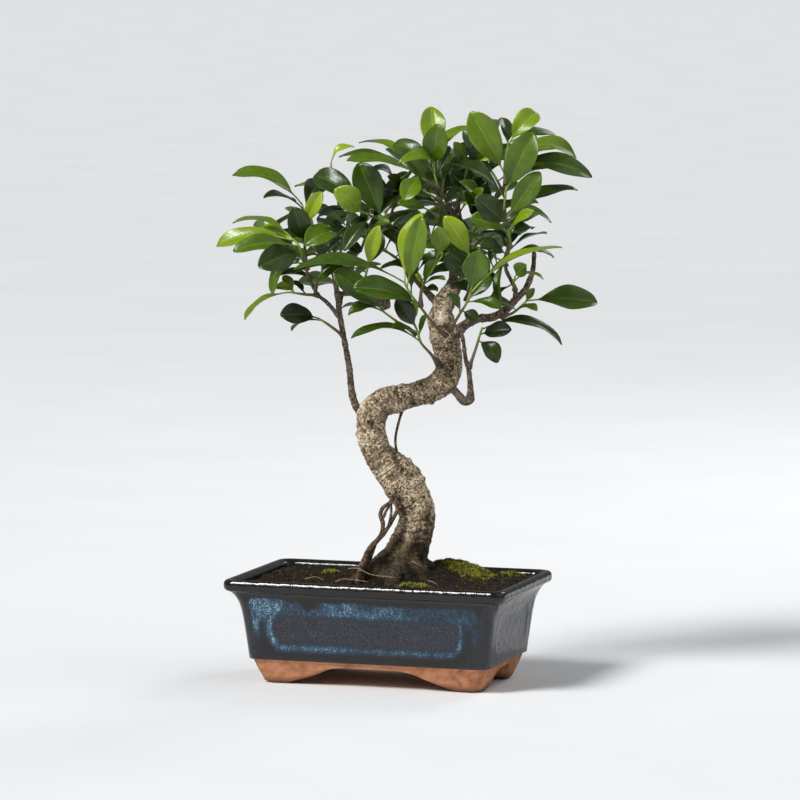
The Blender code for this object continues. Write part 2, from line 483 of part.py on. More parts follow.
# Each shoot is its twig, as (u, v, w) in cm, and its leaves.  A leaf is: place along the twig
# from 0 to 1, tip as (u, v, w), width in cm, face in degrees, arch, age.
# Face 0 shows the upper side to the drawing's eye, 90 turns it to the sky, 180 shows the back.
SHOOTS = {
    "shoot_far_left": ([(-5.8, 29.3, 1.5), (-5.95, 31.0, 1.0), (-6.0, 32.6, 0.8), (-6.1, 33.9, 0.6)], [
        (1.00, (-11.1, 36.0, -0.4), 1.75, 50, 0.20, MID),
        (0.94, (-8.9, 34.4, 2.6), 1.20, 78, 0.14, OLD),
        (0.42, (-6.75, 33.8, 2.6), 1.75, 5, 0.10, OLD),
        (0.86, (-4.4, 35.6, -1.0), 1.70, 22, 0.26, OLD),
        (0.66, (-4.7, 34.9, 1.8), 1.15, 12, 0.08, NEW),
    ]),
    "shoot_left_fan": ([(-5.6, 28.6, 1.3), (-6.0, 29.8, 2.2), (-6.3, 30.9, 2.7), (-6.8, 31.5, 2.6)], [
        (0.97, (-11.1, 32.6, 1.2), 1.30, 72, 0.17, MID),
        (0.90, (-9.5, 32.0, 0.2), 1.20, 55, 0.12, NEW),
        (0.80, (-11.1, 30.6, 4.2), 1.55, 38, 0.12, MID),
        (0.95, (-12.25, 30.95, 2.2), 1.65, 42, 0.15, NEW),
        (0.70, (-9.3, 29.5, 5.4), 2.10, 8, 0.10, OLD),
        (0.42, (-8.25, 27.5, 3.6), 1.30, 52, 0.30, MID),
    ]),
    "shoot_left_low": ([(-5.0, 27.5, 0.8), (-5.9, 27.55, 1.4), (-7.0, 27.7, 2.0)], [
        (1.00, (-10.25, 25.7, 2.8), 1.15, 68, 0.14, MID),
        (0.95, (-8.1, 28.0, 3.4), 0.75, 40, 0.25, NEW),
        (0.85, (-7.5, 28.9, 1.8), 0.80, 20, 0.10, MID),
        (0.45, (-7.1, 28.4, 0.2), 1.00, 60, 0.10, OLD),
    ]),
    "shoot_left_under": ([(-3.2, 24.6, 0.3), (-4.35, 25.45, 0.8), (-5.0, 25.85, 1.1)], [
        (1.00, (-7.75, 26.1, 2.4), 1.60, 22, 0.12, OLD),
        (0.85, (-6.9, 24.95, -0.6), 0.95, 75, 0.14, OLD),
    ]),
    "shoot_centre_left": ([(0.3, 32.2, 0.6), (-0.9, 32.95, 1.5), (-2.0, 33.45, 1.9), (-3.3, 33.7, 2.1)], [
        (0.22, (-2.15, 36.95, 1.0), 2.20, 5, 0.06, OLD),
        (0.10, (-1.15, 33.75, 3.6), 1.70, 25, 0.18, OLD),
        (0.62, (-5.3, 36.0, 0.6), 1.95, 18, 0.26, OLD),
        (0.70, (-3.9, 35.05, 3.6), 1.80, 12, 0.26, MID),
        (1.00, (-3.95, 34.95, 2.4), 0.85, 45, 0.10, NEW),
        (0.60, (-5.1, 33.2, 1.0), 1.30, 62, 0.12, OLD),
        (0.48, (-3.2, 30.6, 2.9), 1.20, 25, 0.10, OLD),
        (0.35, (0.5, 35.2, -0.6), 1.40, 20, 0.10, OLD),
    ]),
    "shoot_left_top": ([(-3.4, 33.7, 1.4), (-3.85, 35.2, -0.2), (-4.1, 36.8, -0.6)], [
        (1.00, (-2.4, 38.0, -0.6), 0.80, 55, 0.28, NEW),
        (0.45, (-6.7, 35.2, -1.6), 0.90, 72, 0.08, MID),
    ]),
    "shoot_front_left": ([(4.1, 24.6, 1.5), (3.3, 25.3, 2.1), (2.3, 26.6, 3.1), (1.6, 27.5, 3.8),
                          (1.1, 28.4, 4.2)], [
        (0.56, (-2.65, 28.0, 5.6), 2.00, 38, 0.14, OLD),
        (1.00, (-6.85, 29.3, 5.2), 1.55, 58, 0.14, MID),
        (0.97, (2.4, 33.4, 3.9), 1.60, 30, 0.16, NEW),
        (0.92, (2.35, 33.2, 5.4), 1.60, 4, 0.10, NEW),
        (0.80, (1.95, 31.6, 4.6), 1.30, 20, 0.08, OLD),
    ]),
    "shoot_front_stem": ([(2.25, 26.7, 3.2), (2.35, 28.0, 3.7), (2.9, 29.1, 3.9), (3.8, 30.3, 4.1)], [
        (0.40, (1.9, 29.0, 5.0), 0.50, 10, 0.05, NEW),
        (0.42, (3.35, 30.1, 5.2), 0.85, 30, 0.08, MID),
        (0.80, (4.1, 31.4, 3.2), 0.80, 40, 0.10, NEW),
        (0.38, (4.05, 28.6, 5.2), 0.80, 60, 0.12, MID),
        (1.00, (3.5, 32.4, 5.2), 1.45, 5, 0.08, MID),
        (0.30, (3.5, 27.8, 4.4), 0.90, 50, 0.10, OLD),
    ]),
    "shoot_spoon": ([(4.35, 25.0, 1.4), (5.0, 26.1, 2.6), (5.5, 26.9, 3.5), (5.8, 27.7, 4.1)], [
        (1.00, (6.4, 30.75, 5.6), 1.90, 0, 0.05, OLD),
        (0.96, (12.4, 30.9, 4.2), 1.45, 80, 0.12, MID),
        (0.80, (7.2, 28.9, 3.0), 1.30, 15, 0.06, OLD),
        (0.78, (8.1, 26.5, 4.8), 1.00, 45, 0.12, MID),
        (0.55, (6.3, 25.7, 3.4), 1.00, 15, 0.10, OLD),
        (0.45, (4.1, 27.6, 3.8), 0.85, 50, 0.16, MID),
    ]),
    "shoot_front_middle": ([(5.5, 27.1, 2.4), (5.85, 28.8, 2.8), (5.85, 30.1, 3.1)], [
        (1.00, (3.9, 33.15, 4.4), 1.55, 12, 0.10, NEW),
        (0.55, (3.9, 30.4, 4.0), 1.70, 10, 0.14, OLD),
        (0.92, (4.0, 31.0, 2.8), 0.95, 68, 0.10, OLD),
        (0.20, (4.9, 28.4, 2.2), 1.10, 30, 0.08, OLD),
    ]),
    "shoot_low_left": ([(3.5, 22.6, 0.8), (3.0, 23.3, 1.3), (2.3, 24.1, 1.9), (2.05, 24.9, 2.2),
                        (1.8, 25.5, 2.4)], [
        (0.60, (-2.75, 24.4, 3.2), 1.20, 62, 0.20, OLD),
        (0.80, (0.1, 25.2, 3.0), 0.85, 60, 0.10, MID),
        (0.88, (0.5, 27.25, 3.0), 1.45, 10, 0.10, OLD),
        (1.00, (1.75, 27.1, 2.6), 0.60, 30, 0.05, NEW),
        (0.72, (2.7, 26.2, 2.4), 0.60, 40, 0.06, MID),
    ]),
    "shoot_low_middle": ([(2.0, 24.7, 1.8), (0.9, 25.4, 1.9), (0.2, 25.9, 2.0), (-0.35, 26.3, 2.1)], [
        (0.97, (-2.9, 26.05, 2.8), 1.15, 62, 0.20, MID),
        (1.00, (-3.35, 26.6, 1.2), 1.00, 84, 0.12, OLD),
        (0.92, (-4.0, 29.35, 2.6), 1.80, 12, 0.10, MID),
    ]),
    "shoot_loop": ([(5.7, 22.3, 1.1), (6.15, 23.6, 1.4), (6.45, 24.6, 1.6), (6.65, 25.2, 1.8)], [
        (0.82, (8.75, 25.05, 3.2), 1.30, 22, 0.10, OLD),
        (0.66, (7.75, 22.65, 2.6), 1.35, 25, 0.26, OLD),
        (0.95, (12.35, 23.9, 2.0), 1.45, 60, 0.22, OLD),
    ]),
    "shoot_right_big": ([(8.0, 25.9, 0.9), (8.9, 26.3, 1.4), (9.8, 27.1, 1.7)], [
        (1.00, (14.85, 26.95, 1.6), 2.05, 32, 0.08, MID),
        (0.60, (10.55, 26.4, 2.8), 0.90, 60, 0.14, MID),
        (0.95, (10.35, 28.0, 2.4), 0.60, 20, 0.10, MID),
        (0.55, (6.95, 27.1, 2.6), 1.20, 50, 0.12, MID),
    ]),
    "shoot_fork_low": ([(8.95, 27.9, 0.6), (8.85, 28.4, 1.4), (8.95, 28.8, 1.9)], [
        (1.00, (9.75, 29.7, 2.8), 1.15, 15, 0.08, MID),
        (0.60, (11.0, 28.6, 2.0), 0.70, 75, 0.26, MID),
        (0.50, (7.1, 26.7, 1.0), 1.00, 66, 0.10, OLD),
    ]),
    "shoot_right_mid": ([(8.35, 30.1, 1.2), (8.6, 31.2, 1.7), (8.45, 32.2, 2.0)], [
        (0.12, (11.75, 30.15, 0.6), 1.10, 66, 0.15, OLD),
        (0.10, (6.4, 30.9, 2.6), 1.35, 45, 0.14, OLD),
        (0.05, (8.0, 26.7, 3.2), 0.90, 50, 0.14, MID),
        (0.30, (6.5, 31.7, 4.6), 1.85, 18, 0.26, MID),
        (0.40, (9.3, 31.8, 0.2), 0.80, 45, 0.14, OLD),
        (0.25, (11.25, 31.9, -0.8), 0.90, 78, 0.10, OLD),
        (0.92, (5.7, 33.0, 2.6), 1.40, 28, 0.08, MID),
        (0.95, (10.3, 33.5, 3.6), 0.95, 50, 0.06, NEW),
        (0.80, (10.15, 32.2, -0.4), 1.10, 50, 0.16, OLD),
    ]),
    "shoot_right_leader": ([(8.45, 32.3, 2.0), (8.2, 33.3, 2.1), (8.25, 34.6, 2.0), (8.35, 35.2, 1.9)], [
        (0.05, (6.1, 34.5, 3.8), 1.80, 8, 0.08, OLD),
        (0.15, (5.0, 34.05, 1.6), 0.80, 66, 0.08, NEW),
        (0.25, (13.45, 34.95, 1.0), 1.45, 55, 0.14, OLD),
        (0.12, (11.55, 32.6, 2.2), 0.85, 72, 0.26, OLD),
        (0.20, (10.75, 36.3, 3.2), 1.65, 2, 0.06, MID),
        (0.85, (10.3, 39.1, 3.4), 2.20, 6, 0.10, MID),
        (0.70, (4.2, 36.85, 1.8), 1.30, 50, 0.18, OLD),
        (1.00, (12.8, 36.65, 0.8), 1.20, 62, 0.12, MID),
    ]),
    "shoot_right_top": ([(8.3, 35.3, 1.6), (8.2, 36.4, 1.0), (8.3, 37.4, 0.4), (8.5, 38.3, -0.1)], [
        (0.25, (5.75, 40.55, 2.2), 2.25, 6, 0.08, NEW),
        (0.95, (10.55, 40.4, -0.8), 1.70, 18, 0.24, NEW),
        (0.88, (8.0, 40.1, -1.4), 1.20, 30, 0.10, OLD),
        (1.00, (12.0, 38.6, -1.8), 1.20, 55, 0.16, MID),
        (0.60, (13.3, 37.2, -0.3), 1.60, 42, 0.28, MID),
        (0.45, (14.45, 35.85, 1.2), 1.60, 28, 0.20, OLD),
        (0.40, (11.8, 37.9, 2.0), 1.10, 62, 0.08, MID),
    ]),
    "shoot_top": ([(4.7, 33.2, -0.6), (4.0, 34.3, 0.4), (3.4, 35.5, 1.0), (3.15, 36.7, 1.2)], [
        (1.00, (3.0, 40.9, -0.4), 1.85, 8, 0.06, NEW),
        (0.96, (3.5, 39.7, 2.6), 1.85, 6, 0.14, MID),
        (0.92, (5.9, 39.4, 0.9), 1.20, 50, 0.26, NEW),
        (0.85, (0.6, 36.85, 3.4), 1.10, 55, 0.32, MID),
        (0.88, (0.3, 38.2, 0.2), 1.50, 22, 0.26, MID),
        (0.80, (2.5, 38.2, -1.2), 0.90, 25, 0.06, OLD),
        (0.75, (4.3, 38.1, -0.8), 0.95, 30, 0.08, OLD),
    ]),
    "shoot_top_left": ([(3.6, 35.0, 0.8), (2.7, 35.6, 1.4), (2.1, 36.1, 1.7)], [
        (0.97, (-3.05, 37.05, 2.4), 1.40, 55, 0.10, MID),
        (0.90, (-3.6, 37.3, 0.6), 1.20, 68, 0.12, OLD),
        (1.00, (-2.15, 38.3, -0.6), 1.10, 60, 0.16, NEW),
        (0.60, (1.2, 37.4, 3.0), 1.30, 20, 0.08, MID),
        (0.94, (1.05, 34.2, 3.6), 1.50, 8, 0.12, MID),
        (0.30, (1.8, 34.55, 1.6), 0.70, 62, 0.08, OLD),
    ]),
    "shoot_centre_front": ([(4.3, 33.9, 0.5), (3.5, 33.8, 1.2), (2.75, 33.5, 1.8)], [
        (0.95, (0.6, 34.0, 3.0), 1.15, 35, 0.10, MID),
        (1.00, (2.1, 31.4, 2.6), 0.90, 60, 0.10, OLD),
        (0.30, (1.2, 34.2, 0.8), 1.00, 70, 0.08, OLD),
    ]),
    "shoot_centre": ([(4.8, 33.4, -1.0), (5.2, 34.9, -0.6), (5.5, 36.2, -0.2), (6.0, 37.2, 0.2)], [
        (0.45, (4.3, 36.2, 0.8), 1.20, 20, 0.08, OLD),
        (0.72, (4.6, 38.4, 0.2), 0.95, 25, 0.10, MID),
        (0.98, (5.5, 39.3, -1.2), 1.20, 20, 0.08, OLD),
        (0.80, (6.6, 38.2, 0.4), 0.95, 30, 0.06, OLD),
        (0.95, (6.5, 35.9, 1.8), 1.00, 15, 0.16, MID),
        (1.00, (7.4, 37.2, 1.2), 0.60, 20, 0.08, NEW),
        (0.30, (7.9, 36.8, 0.2), 1.10, 50, 0.12, OLD),
        (0.20, (6.9, 35.6, -0.6), 1.20, 40, 0.14, OLD),
    ]),
    "shoot_knob": ([(-1.6, 27.65, -0.4), (-1.7, 28.5, 0.6), (-1.5, 29.4, 1.4)], [
        (0.85, (-6.75, 29.05, 3.0), 1.30, 66, 0.12, OLD),
        (0.97, (-0.65, 32.5, 3.2), 1.15, 12, 0.08, NEW),
        (1.00, (-0.6, 32.2, 1.8), 1.50, 5, 0.06, OLD),
    ]),
    "shoot_left_inner": ([(-3.9, 29.2, -0.2), (-4.3, 30.0, -0.2), (-4.0, 31.0, 0.2), (-3.4, 31.7, 0.6)], [
        (1.00, (-6.0, 31.0, 2.6), 1.75, 32, 0.26, MID),
        (0.35, (-7.75, 29.9, 1.6), 1.20, 58, 0.12, MID),
        (0.70, (-6.3, 31.9, -0.6), 1.20, 40, 0.12, OLD),
        (0.85, (-2.0, 30.5, 0.6), 1.00, 30, 0.14, OLD),
        (0.60, (-4.9, 33.0, -1.6), 1.30, 30, 0.10, OLD),
    ]),
}

# Shoots on the far side of the crown: root of the twig, its end, leaf count and mean leaf length.
# Their leaves follow the spiral of a growing stem.
BACK_SHOOTS = {
    "shoot_back_right": ((5.4, 30.4, -5.2), (7.8, 31.8, -6.8), 6, 4.3),
    "shoot_back_top": ((5.2, 32.3, -5.8), (4.6, 35.2, -6.2), 7, 4.2),
    "shoot_back_middle": ((5.2, 29.2, -4.4), (3.0, 31.6, -6.6), 6, 4.4),
    "shoot_back_low": ((4.9, 28.0, -3.4), (7.4, 28.6, -5.2), 5, 4.2),
    "shoot_back_inner": ((4.5, 30.2, -1.8), (6.6, 32.4, -2.8), 6, 4.0),
    "shoot_back_crown": ((4.6, 32.8, -1.4), (2.4, 35.0, -3.4), 6, 4.2),
    "shoot_back_left": ((1.4, 29.4, -1.4), (-1.4, 31.0, -4.4), 6, 4.3),
    "shoot_back_far_left": ((-3.8, 28.8, -0.4), (-5.2, 31.0, -3.4), 6, 4.2),
    "shoot_back_left_low": ((-3.5, 26.9, -0.1), (-2.6, 28.6, -3.0), 4, 4.0),
    "shoot_back_high_right": ((6.0, 36.0, -0.6), (6.8, 37.0, -3.2), 5, 4.0),
}
SPIRAL = math.radians(137.5)     # turn from one leaf to the next


def leaf_frame(start, tip, face):
    """Unit vectors along a leaf, out of its upper side and across it."""
    along = tip - start
    length = np.linalg.norm(along)
    along = along / length
    toward = TO_EYE - along * np.dot(TO_EYE, along)
    toward /= max(np.linalg.norm(toward), 1e-6)
    skyward = np.cross(along, toward)
    if skyward[2] < 0:
        skyward = -skyward
    angle = math.radians(face)
    out = toward * math.cos(angle) + skyward * math.sin(angle)
    return along, out, np.cross(along, out), length


def blade_width(share):
    """Half-width of an elliptic blade, widest past the middle, against the share of its length."""
    blade = np.clip((share - PETIOLE_SHARE) / (1 - PETIOLE_SHARE), 0, 1)
    return np.sin(math.pi * blade ** 1.12) ** 0.8 * (1 - 0.12 * blade)


def leaf_shape(start, tip, width, face, arch, thickness=LEAF_THICKNESS):
    """A leaf as a loft of folded lozenges along an arched midrib, pointed at the tip."""
    along, out, across, length = leaf_frame(start, tip, face)
    share = np.array([0.0, PETIOLE_SHARE, 0.38, 0.62, 0.85])
    midrib = start + np.outer(share * length, along) + np.outer(4 * arch * length * share * (1 - share), out)
    slope = np.arctan(4 * arch * (1 - 2 * share))
    normal = np.outer(np.cos(slope), out) - np.outer(np.sin(slope), along)
    half = np.maximum(width / 2 * blade_width(share), PETIOLE_RADIUS)
    lift = half * math.sin(LEAF_FOLD) * (half > PETIOLE_RADIUS)
    half_thick = np.where(half > PETIOLE_RADIUS, thickness / 2, PETIOLE_RADIUS)
    left = midrib + across * half[:, None] + normal * lift[:, None]
    right = midrib - across * half[:, None] + normal * lift[:, None]
    top = midrib + normal * half_thick[:, None]
    bottom = midrib - normal * half_thick[:, None]
    rings = np.stack([left, top, right, bottom], axis=1)
    points = np.vstack([rings.reshape(-1, 3), tip[None]])
    stations = len(share)
    faces = [(0, 1, 2), (0, 2, 3)]
    for r in range(stations - 1):
        for i in range(4):
            j = (i + 1) % 4
            a, b, c, d = 4 * r + i, 4 * r + j, 4 * r + 4 + j, 4 * r + 4 + i
            faces += [(a, d, c), (a, c, b)]
    last = 4 * (stations - 1)
    for i in range(4):
        faces.append((last + i, len(points) - 1, last + (i + 1) % 4))
    return points, faces


def twig_point(places, share):
    """A point along a path by its share of the length."""
    steps = np.linalg.norm(np.diff(places, axis=0), axis=1)
    run = np.concatenate([[0], np.cumsum(steps)])
    return np.array([np.interp(share * run[-1], run, places[:, k]) for k in range(3)])


def back_leaves(first, last, count, mean_length, seed):
    """Leaves of a far-side shoot: spiralled round the twig and drooping outward."""
    chance = np.random.default_rng(seed)
    leaves = []
    for k in range(count):
        share = 0.35 + 0.65 * k / (count - 1)
        root = np.array(first) + (np.array(last) - first) * share
        turn = SPIRAL * k + chance.uniform(0, 1)
        rise = chance.uniform(-0.15, 0.55) + 0.35 * share
        length = mean_length * chance.uniform(0.8, 1.12)
        reach = length * math.cos(rise)
        step = (reach * math.cos(turn), length * math.sin(rise), -abs(reach * math.sin(turn)) * 0.8)
        tip = tuple(root + step)
        width = length * chance.uniform(0.36, 0.44)
        leaves.append((share, tip, width, 180 - chance.uniform(40, 80), chance.uniform(0.08, 0.2),
                       chance.choice([OLD, OLD, MID])))
    return leaves


def all_shoots():
    shoots = dict(SHOOTS)
    for seed, (name, (first, last, count, mean_length)) in enumerate(BACK_SHOOTS.items()):
        middle = tuple((np.array(first) + last) / 2 + (0, 0.3, 0))
        leaves = back_leaves(first, last, count, mean_length, seed)
        shoots[name] = ([first, middle, last], leaves)
    return shoots


# ---------------------------------------------------------------- fitting pieces to each other

def tree_of(shape):
    points, faces = shape
    return BVHTree.FromPolygons([tuple(p) for p in points], [tuple(f) for f in faces])


def box_of(shape):
    return shape[0].min(axis=0) - GAP, shape[0].max(axis=0) + GAP


class Neighbours:
    """What is already in place, to keep a new piece clear of it."""

    def __init__(self):
        self.pieces = []

    def add(self, owner, shape):
        self.pieces.append((owner, box_of(shape), tree_of(shape)))

    def hit(self, shape, skip=()):
        low, high = box_of(shape)
        tree = None
        for owner, (other_low, other_high), other in self.pieces:
            if owner in skip or np.any(low > other_high) or np.any(high < other_low):
                continue
            tree = tree or tree_of(shape)
            if tree.overlap(other):
                return owner
        return None

    def clearance(self, place, skip=()):
        """Distance from a point to the nearest surface, zero inside a piece."""
        nearest = 1.0
        for owner, (low, high), other in self.pieces:
            if owner in skip or np.any(place < low - 0.01) or np.any(place > high + 0.01):
                continue
            spot, normal, _, distance = other.find_nearest(place)
            if spot is None:
                continue
            if (Vector(place) - spot).dot(normal) < 0:
                distance = 0.0
            nearest = min(nearest, distance)
        return nearest


def trimmed(places, radii, neighbours):
    """Drops the start of a path until a rod along it clears what carries it."""
    fine = np.linspace(0, len(places) - 1, 12 * len(places))
    dense = np.array([[np.interp(f, range(len(places)), places[:, k]) for k in range(3)] for f in fine])
    for f, place in zip(fine, dense):
        radius = np.interp(f, range(len(radii)), radii)
        if neighbours.clearance(place) > radius * 1.15 + GAP * 1.3:
            keep = [k for k in range(len(places)) if k > f + 0.3]
            return np.vstack([place, places[keep]]), np.append(radius, radii[keep])
    return places, radii


def leaf_tries():
    """Small changes to a leaf, the least visible first: depth, turn, then height."""
    tries = []
    for depth in np.arange(-9, 10) * 0.35:
        for turn in (0, 10, -10, 20, -20, 32, -32):
            for rise in (0, 0.25, -0.25, 0.5, -0.5):
                for size in (1.0, 0.88, 0.76):
                    cost = abs(depth) + abs(turn) / 14 + abs(rise) * 4 + (1 - size) * 14
                    tries.append((cost, depth, turn, rise, size))
    return sorted(tries)


TRIES = leaf_tries()


def settled_leaf(name, places, leaf, neighbours):
    """The first small change of a leaf that leaves it clear of everything in place."""
    share, tip, width, face, arch, _ = leaf
    start = twig_point(places, share)
    for _, depth, turn, rise, size in TRIES:
        end = start + (at(tip[0], tip[1] + rise, tip[2] + depth) - start) * size
        sizes = (width * size * CM, face + turn, arch)
        swollen = leaf_shape(start, end, *sizes, thickness=LEAF_THICKNESS + 2.4 * GAP)
        blade_points = swollen[0][4:]
        blade_faces = [tuple(i - 4 for i in f) for f in swollen[1][2:] if min(f) >= 4]
        if neighbours.hit(swollen, skip=(name,)) or neighbours.hit((blade_points, blade_faces)):
            continue
        return start, end, sizes
    return None


# ---------------------------------------------------------------- the whole plant

def grown(points, spacing, sides, extra=0.0):
    places, radii = smooth_path(points, spacing)
    return tube(places, radii + extra, sides)


def trunk_rods(extra=0.0):
    """The S-shaped trunk, the lobe of its bend, then the roots that show at its foot."""
    roots = [grown(root, 1.2, 7, extra) for root in SURFACE_ROOTS]
    return [grown(TRUNK, 0.9, 12, extra), grown(LOBE, 0.7, 9, extra)] + roots


def trunk_shape(extra=0.0):
    trunk, *others = trunk_rods(extra)
    return combine(trunk, others, "UNION")


def leaf_colour(age):
    dark = np.array([0.020, 0.065, 0.012])
    young = np.array([0.180, 0.300, 0.012])
    return tuple(dark + (young - dark) * age)


def build_plant(parts, neighbours):
    bark = finish("fig_bark", (0.30, 0.23, 0.15), 0.85)
    root_bark = finish("root_bark", (0.13, 0.09, 0.06), 0.85)
    twig_bark = finish("twig_bark", (0.12, 0.08, 0.05), 0.8)

    parts["trunk"] = (trunk_shape(), bark)
    neighbours.add("trunk", parts["trunk"][0])

    swollen = {"trunk": trunk_shape(GAP)}
    hangers = {"aerial_roots": AERIAL_ROOTS, "hanging_root": [HANGING_ROOT]}
    for name, roots in hangers.items():
        strands = [grown(root, 1.0, 6) for root in roots]
        joined = combine(strands[0], strands[1:], "UNION") if strands[1:] else strands[0]
        shape = largest_body(combine(joined, [swollen["trunk"]], "DIFFERENCE"))
        parts[name] = (shape, root_bark)
        neighbours.add(name, shape)

    for name, (carrier, points) in BRANCHES.items():
        rod = grown(points, 1.3, 8)
        swollen[name] = grown(points, 1.3, 8, GAP)
        shape = largest_body(combine(rod, [swollen[carrier]], "DIFFERENCE"))
        parts[name] = (shape, twig_bark)
        neighbours.add(name, shape)

    shoots = all_shoots()
    twigs = {}
    for name, (points, leaves) in shoots.items():
        count = len(points)
        rows = [(*point, 0.12 - 0.05 * k / (count - 1)) for k, point in enumerate(points)]
        places, radii = smooth_path(rows, 1.0)
        places, radii = trimmed(places, radii, neighbours)
        twigs[name] = (places, tube(places, radii, TWIG_SIDES))
        neighbours.add(name, twigs[name][1])

    for name, (points, leaves) in shoots.items():
        places, twig = twigs[name]
        grown_leaves = []
        for number, leaf in enumerate(leaves):
            settled = settled_leaf(name, places, leaf, neighbours)
            if settled is None:
                print("no room for leaf", number, "of", name)
                continue
            start, tip, sizes = settled
            shape = leaf_shape(start, tip, *sizes)
            grown_leaves.append(shape)
            blade = (shape[0][4:], [tuple(i - 4 for i in f) for f in shape[1][2:] if min(f) >= 4])
            neighbours.add(name + ".blade", blade)
            neighbours.add(name, shape)
        age = sum(leaf[-1] for leaf in leaves) / len(leaves)
        green = finish(name + "_leaf", leaf_colour(age), 0.35)
        parts[name] = (combine(twig, grown_leaves, "UNION"), green)


def build_pot(parts, neighbours):
    glaze = finish("dark_glaze", (0.012, 0.020, 0.040), 0.12)
    netting = finish("netting", (0.02, 0.02, 0.02), 0.6)
    earth = finish("potting_soil", (0.022, 0.014, 0.009), 0.95)
    green = finish("moss", (0.16, 0.20, 0.015), 0.95)
    parts["pot"] = (pot_shape(), glaze)
    for side, name in ((-1, "drain_mesh_left"), (1, "drain_mesh_right")):
        parts[name] = (drain_mesh_shape(side * DRAIN_SPACING / 2), netting)
    growing = trunk_rods(GAP) + [grown(root, 1.0, 6, GAP) for root in AERIAL_ROOTS]
    soil = soil_shape(growing)
    parts["soil"] = (soil, earth)
    raised = (soil[0] + (0, 0, GAP), soil[1])
    for name, patch in MOSS.items():
        cushion = combine(moss_shape(*patch), [raised] + trunk_rods(GAP), "DIFFERENCE")
        parts[name] = (largest_body(cushion), green)
    for name, (shape, _) in parts.items():
        neighbours.add(name, shape)


def build():
    clear_scene()
    parts = {}
    neighbours = Neighbours()
    build_pot(parts, neighbours)
    build_plant(parts, neighbours)
    low = np.min([shape[0].min(axis=0) for shape, _ in parts.values()], axis=0)
    high = np.max([shape[0].max(axis=0) for shape, _ in parts.values()], axis=0)
    whole = bpy.data.objects.new("bonsai", None)
    bpy.context.scene.collection.objects.link(whole)
    whole.location = (-(low[0] + high[0]) / 2, -(low[1] + high[1]) / 2, -low[2])
    for name, (shape, material) in parts.items():
        item = add_object(name, shape, material)
        item.parent = whole
    print("pieces", len(parts), "size in mm", np.round((high - low) / MM, 1))


build()
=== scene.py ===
# %% [markdown]
# # A small-leaved fig in a glazed pot
#
# This lesson dresses a measured model of a bonsai: a fig with an S-shaped trunk in a rectangular,
# dark blue pot.  The frame holds the sizes and places of every piece.  Each cell below makes one
# kind of piece as a surface worked out with numpy, and gives it a finish made of shader nodes.

# %% Load the frame
import math

import bpy
import numpy as np
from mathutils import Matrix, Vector


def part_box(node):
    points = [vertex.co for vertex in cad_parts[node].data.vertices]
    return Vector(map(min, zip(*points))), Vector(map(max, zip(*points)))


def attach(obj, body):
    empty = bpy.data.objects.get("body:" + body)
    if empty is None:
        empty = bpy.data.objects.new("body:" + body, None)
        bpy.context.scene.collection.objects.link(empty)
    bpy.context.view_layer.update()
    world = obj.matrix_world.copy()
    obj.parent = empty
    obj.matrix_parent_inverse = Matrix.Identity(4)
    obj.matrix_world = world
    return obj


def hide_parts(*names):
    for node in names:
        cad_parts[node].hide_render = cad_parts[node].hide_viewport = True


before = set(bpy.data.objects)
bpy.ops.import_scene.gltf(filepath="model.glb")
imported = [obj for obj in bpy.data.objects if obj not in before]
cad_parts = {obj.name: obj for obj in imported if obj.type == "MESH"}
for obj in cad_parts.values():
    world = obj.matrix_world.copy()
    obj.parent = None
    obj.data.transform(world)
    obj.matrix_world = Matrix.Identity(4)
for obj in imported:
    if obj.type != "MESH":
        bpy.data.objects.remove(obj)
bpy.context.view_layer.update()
MM = 0.001
CM = 0.01

pot_low, pot_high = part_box("pot")
POT_CENTRE = np.array([(pot_low.x + pot_high.x) / 2, (pot_low.y + pot_high.y) / 2, pot_low.z])
print("pot centre in mm", np.round(POT_CENTRE / MM, 1))

# %% [markdown]
# ## The drawing and its eye
#
# The tree is laid out like an elevation drawing, in centimetres: u runs right, v runs up and w
# comes out of the drawing toward an eye that stands well in front of the pot.  A point that is
# drawn at (u, v) is slid along its sight line to its depth w, so the outline stays as drawn.

# %% From the drawing to the pot
EYE_DISTANCE = 365.5             # cm
EYE_HEIGHT = 57.8                # cm
EYE_U = 0.8                      # cm
DRAWING_TURN = math.radians(18.2)
EYE_TILT = math.radians(5.9)


def turned(u, w, v):
    """Drawing axes to the pot's axes: u and w lie in plan, v is height."""
    x = u * math.cos(DRAWING_TURN) + w * math.sin(DRAWING_TURN)
    y = u * math.sin(DRAWING_TURN) - w * math.cos(DRAWING_TURN)
    return np.stack([x, y, v + 0 * x], axis=-1)


def at(u, v, w):
    """Place in metres of a point drawn at (u, v) and slid to depth w along its sight line."""
    nearer = (EYE_DISTANCE - w) / EYE_DISTANCE
    drawn_u = EYE_U + (u - EYE_U) * nearer
    drawn_v = EYE_HEIGHT + (v - EYE_HEIGHT) * nearer
    return turned(drawn_u, w, drawn_v) * CM + POT_CENTRE


def potted(points):
    """Points in mm from the pot's centre, as metres in the frame."""
    return np.asarray(points) * MM + POT_CENTRE


TO_EYE = turned(0.0, math.cos(EYE_TILT), math.sin(EYE_TILT))

# %% [markdown]
# ## Camera, floor and light
#
# A long lens keeps the pot's sides nearly parallel.  The floor is one large pale sheet that also
# fills the background.  The light is a pale surround, one broad lamp high on the left and a
# weaker one behind on the right, as two large softboxes in a studio would give.

